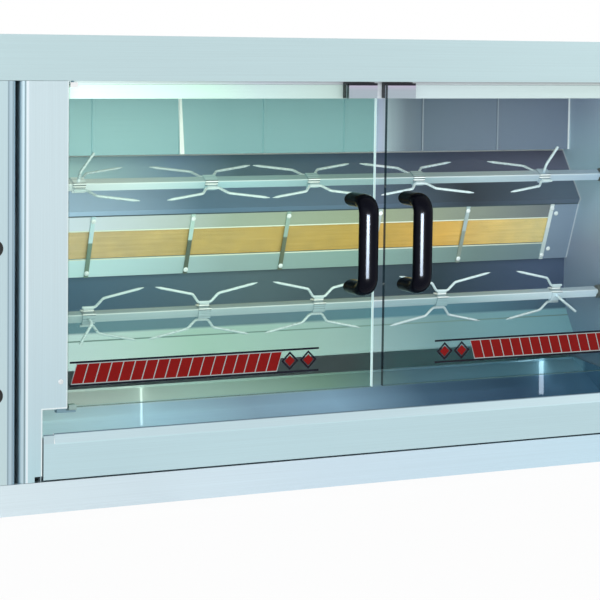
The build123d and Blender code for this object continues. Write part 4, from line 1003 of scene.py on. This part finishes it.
def soft_lamp(name, place, target, width, height, watts, colour=(1.0, 1.0, 1.0)):
    """A soft box that faces a point."""
    lamp = bpy.data.lights.new(name, "AREA")
    lamp.shape = "RECTANGLE"
    lamp.size, lamp.size_y = width, height
    lamp.energy = watts
    lamp.color = colour
    box = new_piece(name, lamp)
    box.location = place
    box.rotation_euler = (Vector(target) - Vector(place)).to_track_quat("-Z", "Y").to_euler()
    return box


soft_lamp("key_light", (-2.4, -4.0, 1.4), (0.0, 0.0, 0.3), 4.8, 4.0, 66.0)
soft_lamp("second_light", (3.4, -3.0, 1.6), (0.2, 0.0, 0.3), 2.0, 2.0, 8.5)

# Lamps as wide as the doors light the cavity from just behind them and from its ceiling
cavity_x = 0.073
opening_light = soft_lamp("opening_light", (cavity_x, -0.2005, 0.36), (cavity_x, 0.2, 0.36), 0.87, 0.42, 1.9)
ceiling_light = soft_lamp("ceiling_light", (cavity_x, -0.09, 0.585), (cavity_x, -0.09, 0.2), 0.86, 0.18, 0.25)
for lamp in (opening_light, ceiling_light):
    lamp.visible_camera = False
    lamp.visible_glossy = False


def strip_lamp(name, start, end, behind, width, watts):
    """A narrow lamp between two points, with its back towards a direction."""
    start, end, behind = Vector(start), Vector(end), Vector(behind)
    strip = soft_lamp(name, start, end, width, (end - start).length, watts)
    along = (end - start).normalized()
    back = (behind - along * along.dot(behind)).normalized()
    turn = Matrix((along.cross(back), along, back)).transposed().to_4x4()
    strip.matrix_world = Matrix.Translation((start + end) / 2) @ turn
    strip.visible_camera = False
    return strip


# Two strips whose reflections run down the slope of the drip tray
tray_only = bpy.data.collections.new("tray_only")
tray_only.objects.link(bpy.data.objects["drip_tray_eased"])
left_streak = strip_lamp("left_streak", (-0.175, 0.030, 0.124), (-0.192, -0.0335, 0.1107),
                         (0.34, 0.41, 0.84), 0.003, 0.0013)
right_streak = strip_lamp("right_streak", (0.487, 0.0315, 0.1224), (0.457, -0.0332, 0.1085),
                          (0.53, 0.38, 0.76), 0.007, 0.006)
for streak in (left_streak, right_streak):
    streak.light_linking.receiver_collection = tray_only

# A tall strip whose reflection runs down the middle of each handle
handle_strip = soft_lamp("handle_strip", (-0.15, -2.75, 0.13), (0.07, -0.26, 0.34), 1.0, 0.25, 400.0,
                         (1.0, 0.98, 0.96))
grips = bpy.data.collections.new("handles")
for side in ("left", "right"):
    grips.objects.link(nodes[side + "_handle"])
handle_strip.light_linking.receiver_collection = grips

# Camera: it looks slightly down at the machine, from the left of its middle
picture_width = 600.0
focal_pixels = 1966.0
view_turn = radians(25.05)
view_drop = radians(4.09)
view_roll = 0.0133
axis_above_middle = 120.0
camera_place = (-1.140, -2.551, 0.608)

camera_data = bpy.data.cameras.new("camera")
camera_data.sensor_width = 36.0
camera_data.lens = focal_pixels / picture_width * camera_data.sensor_width
camera_data.shift_y = -axis_above_middle / picture_width
camera = new_piece("camera", camera_data)
sight = Vector((sin(view_turn) * cos(view_drop), cos(view_turn) * cos(view_drop), -sin(view_drop)))
level = sight.cross(Vector((0.0, 0.0, 1.0))).normalized()
plumb = level.cross(sight)
right = (level + view_roll * plumb).normalized()
up = (plumb - view_roll * level).normalized()
camera.matrix_world = Matrix.Translation(camera_place) @ Matrix((right, up, -sight)).transposed().to_4x4()
scene.camera = camera
scene.view_settings.view_transform = "Standard"
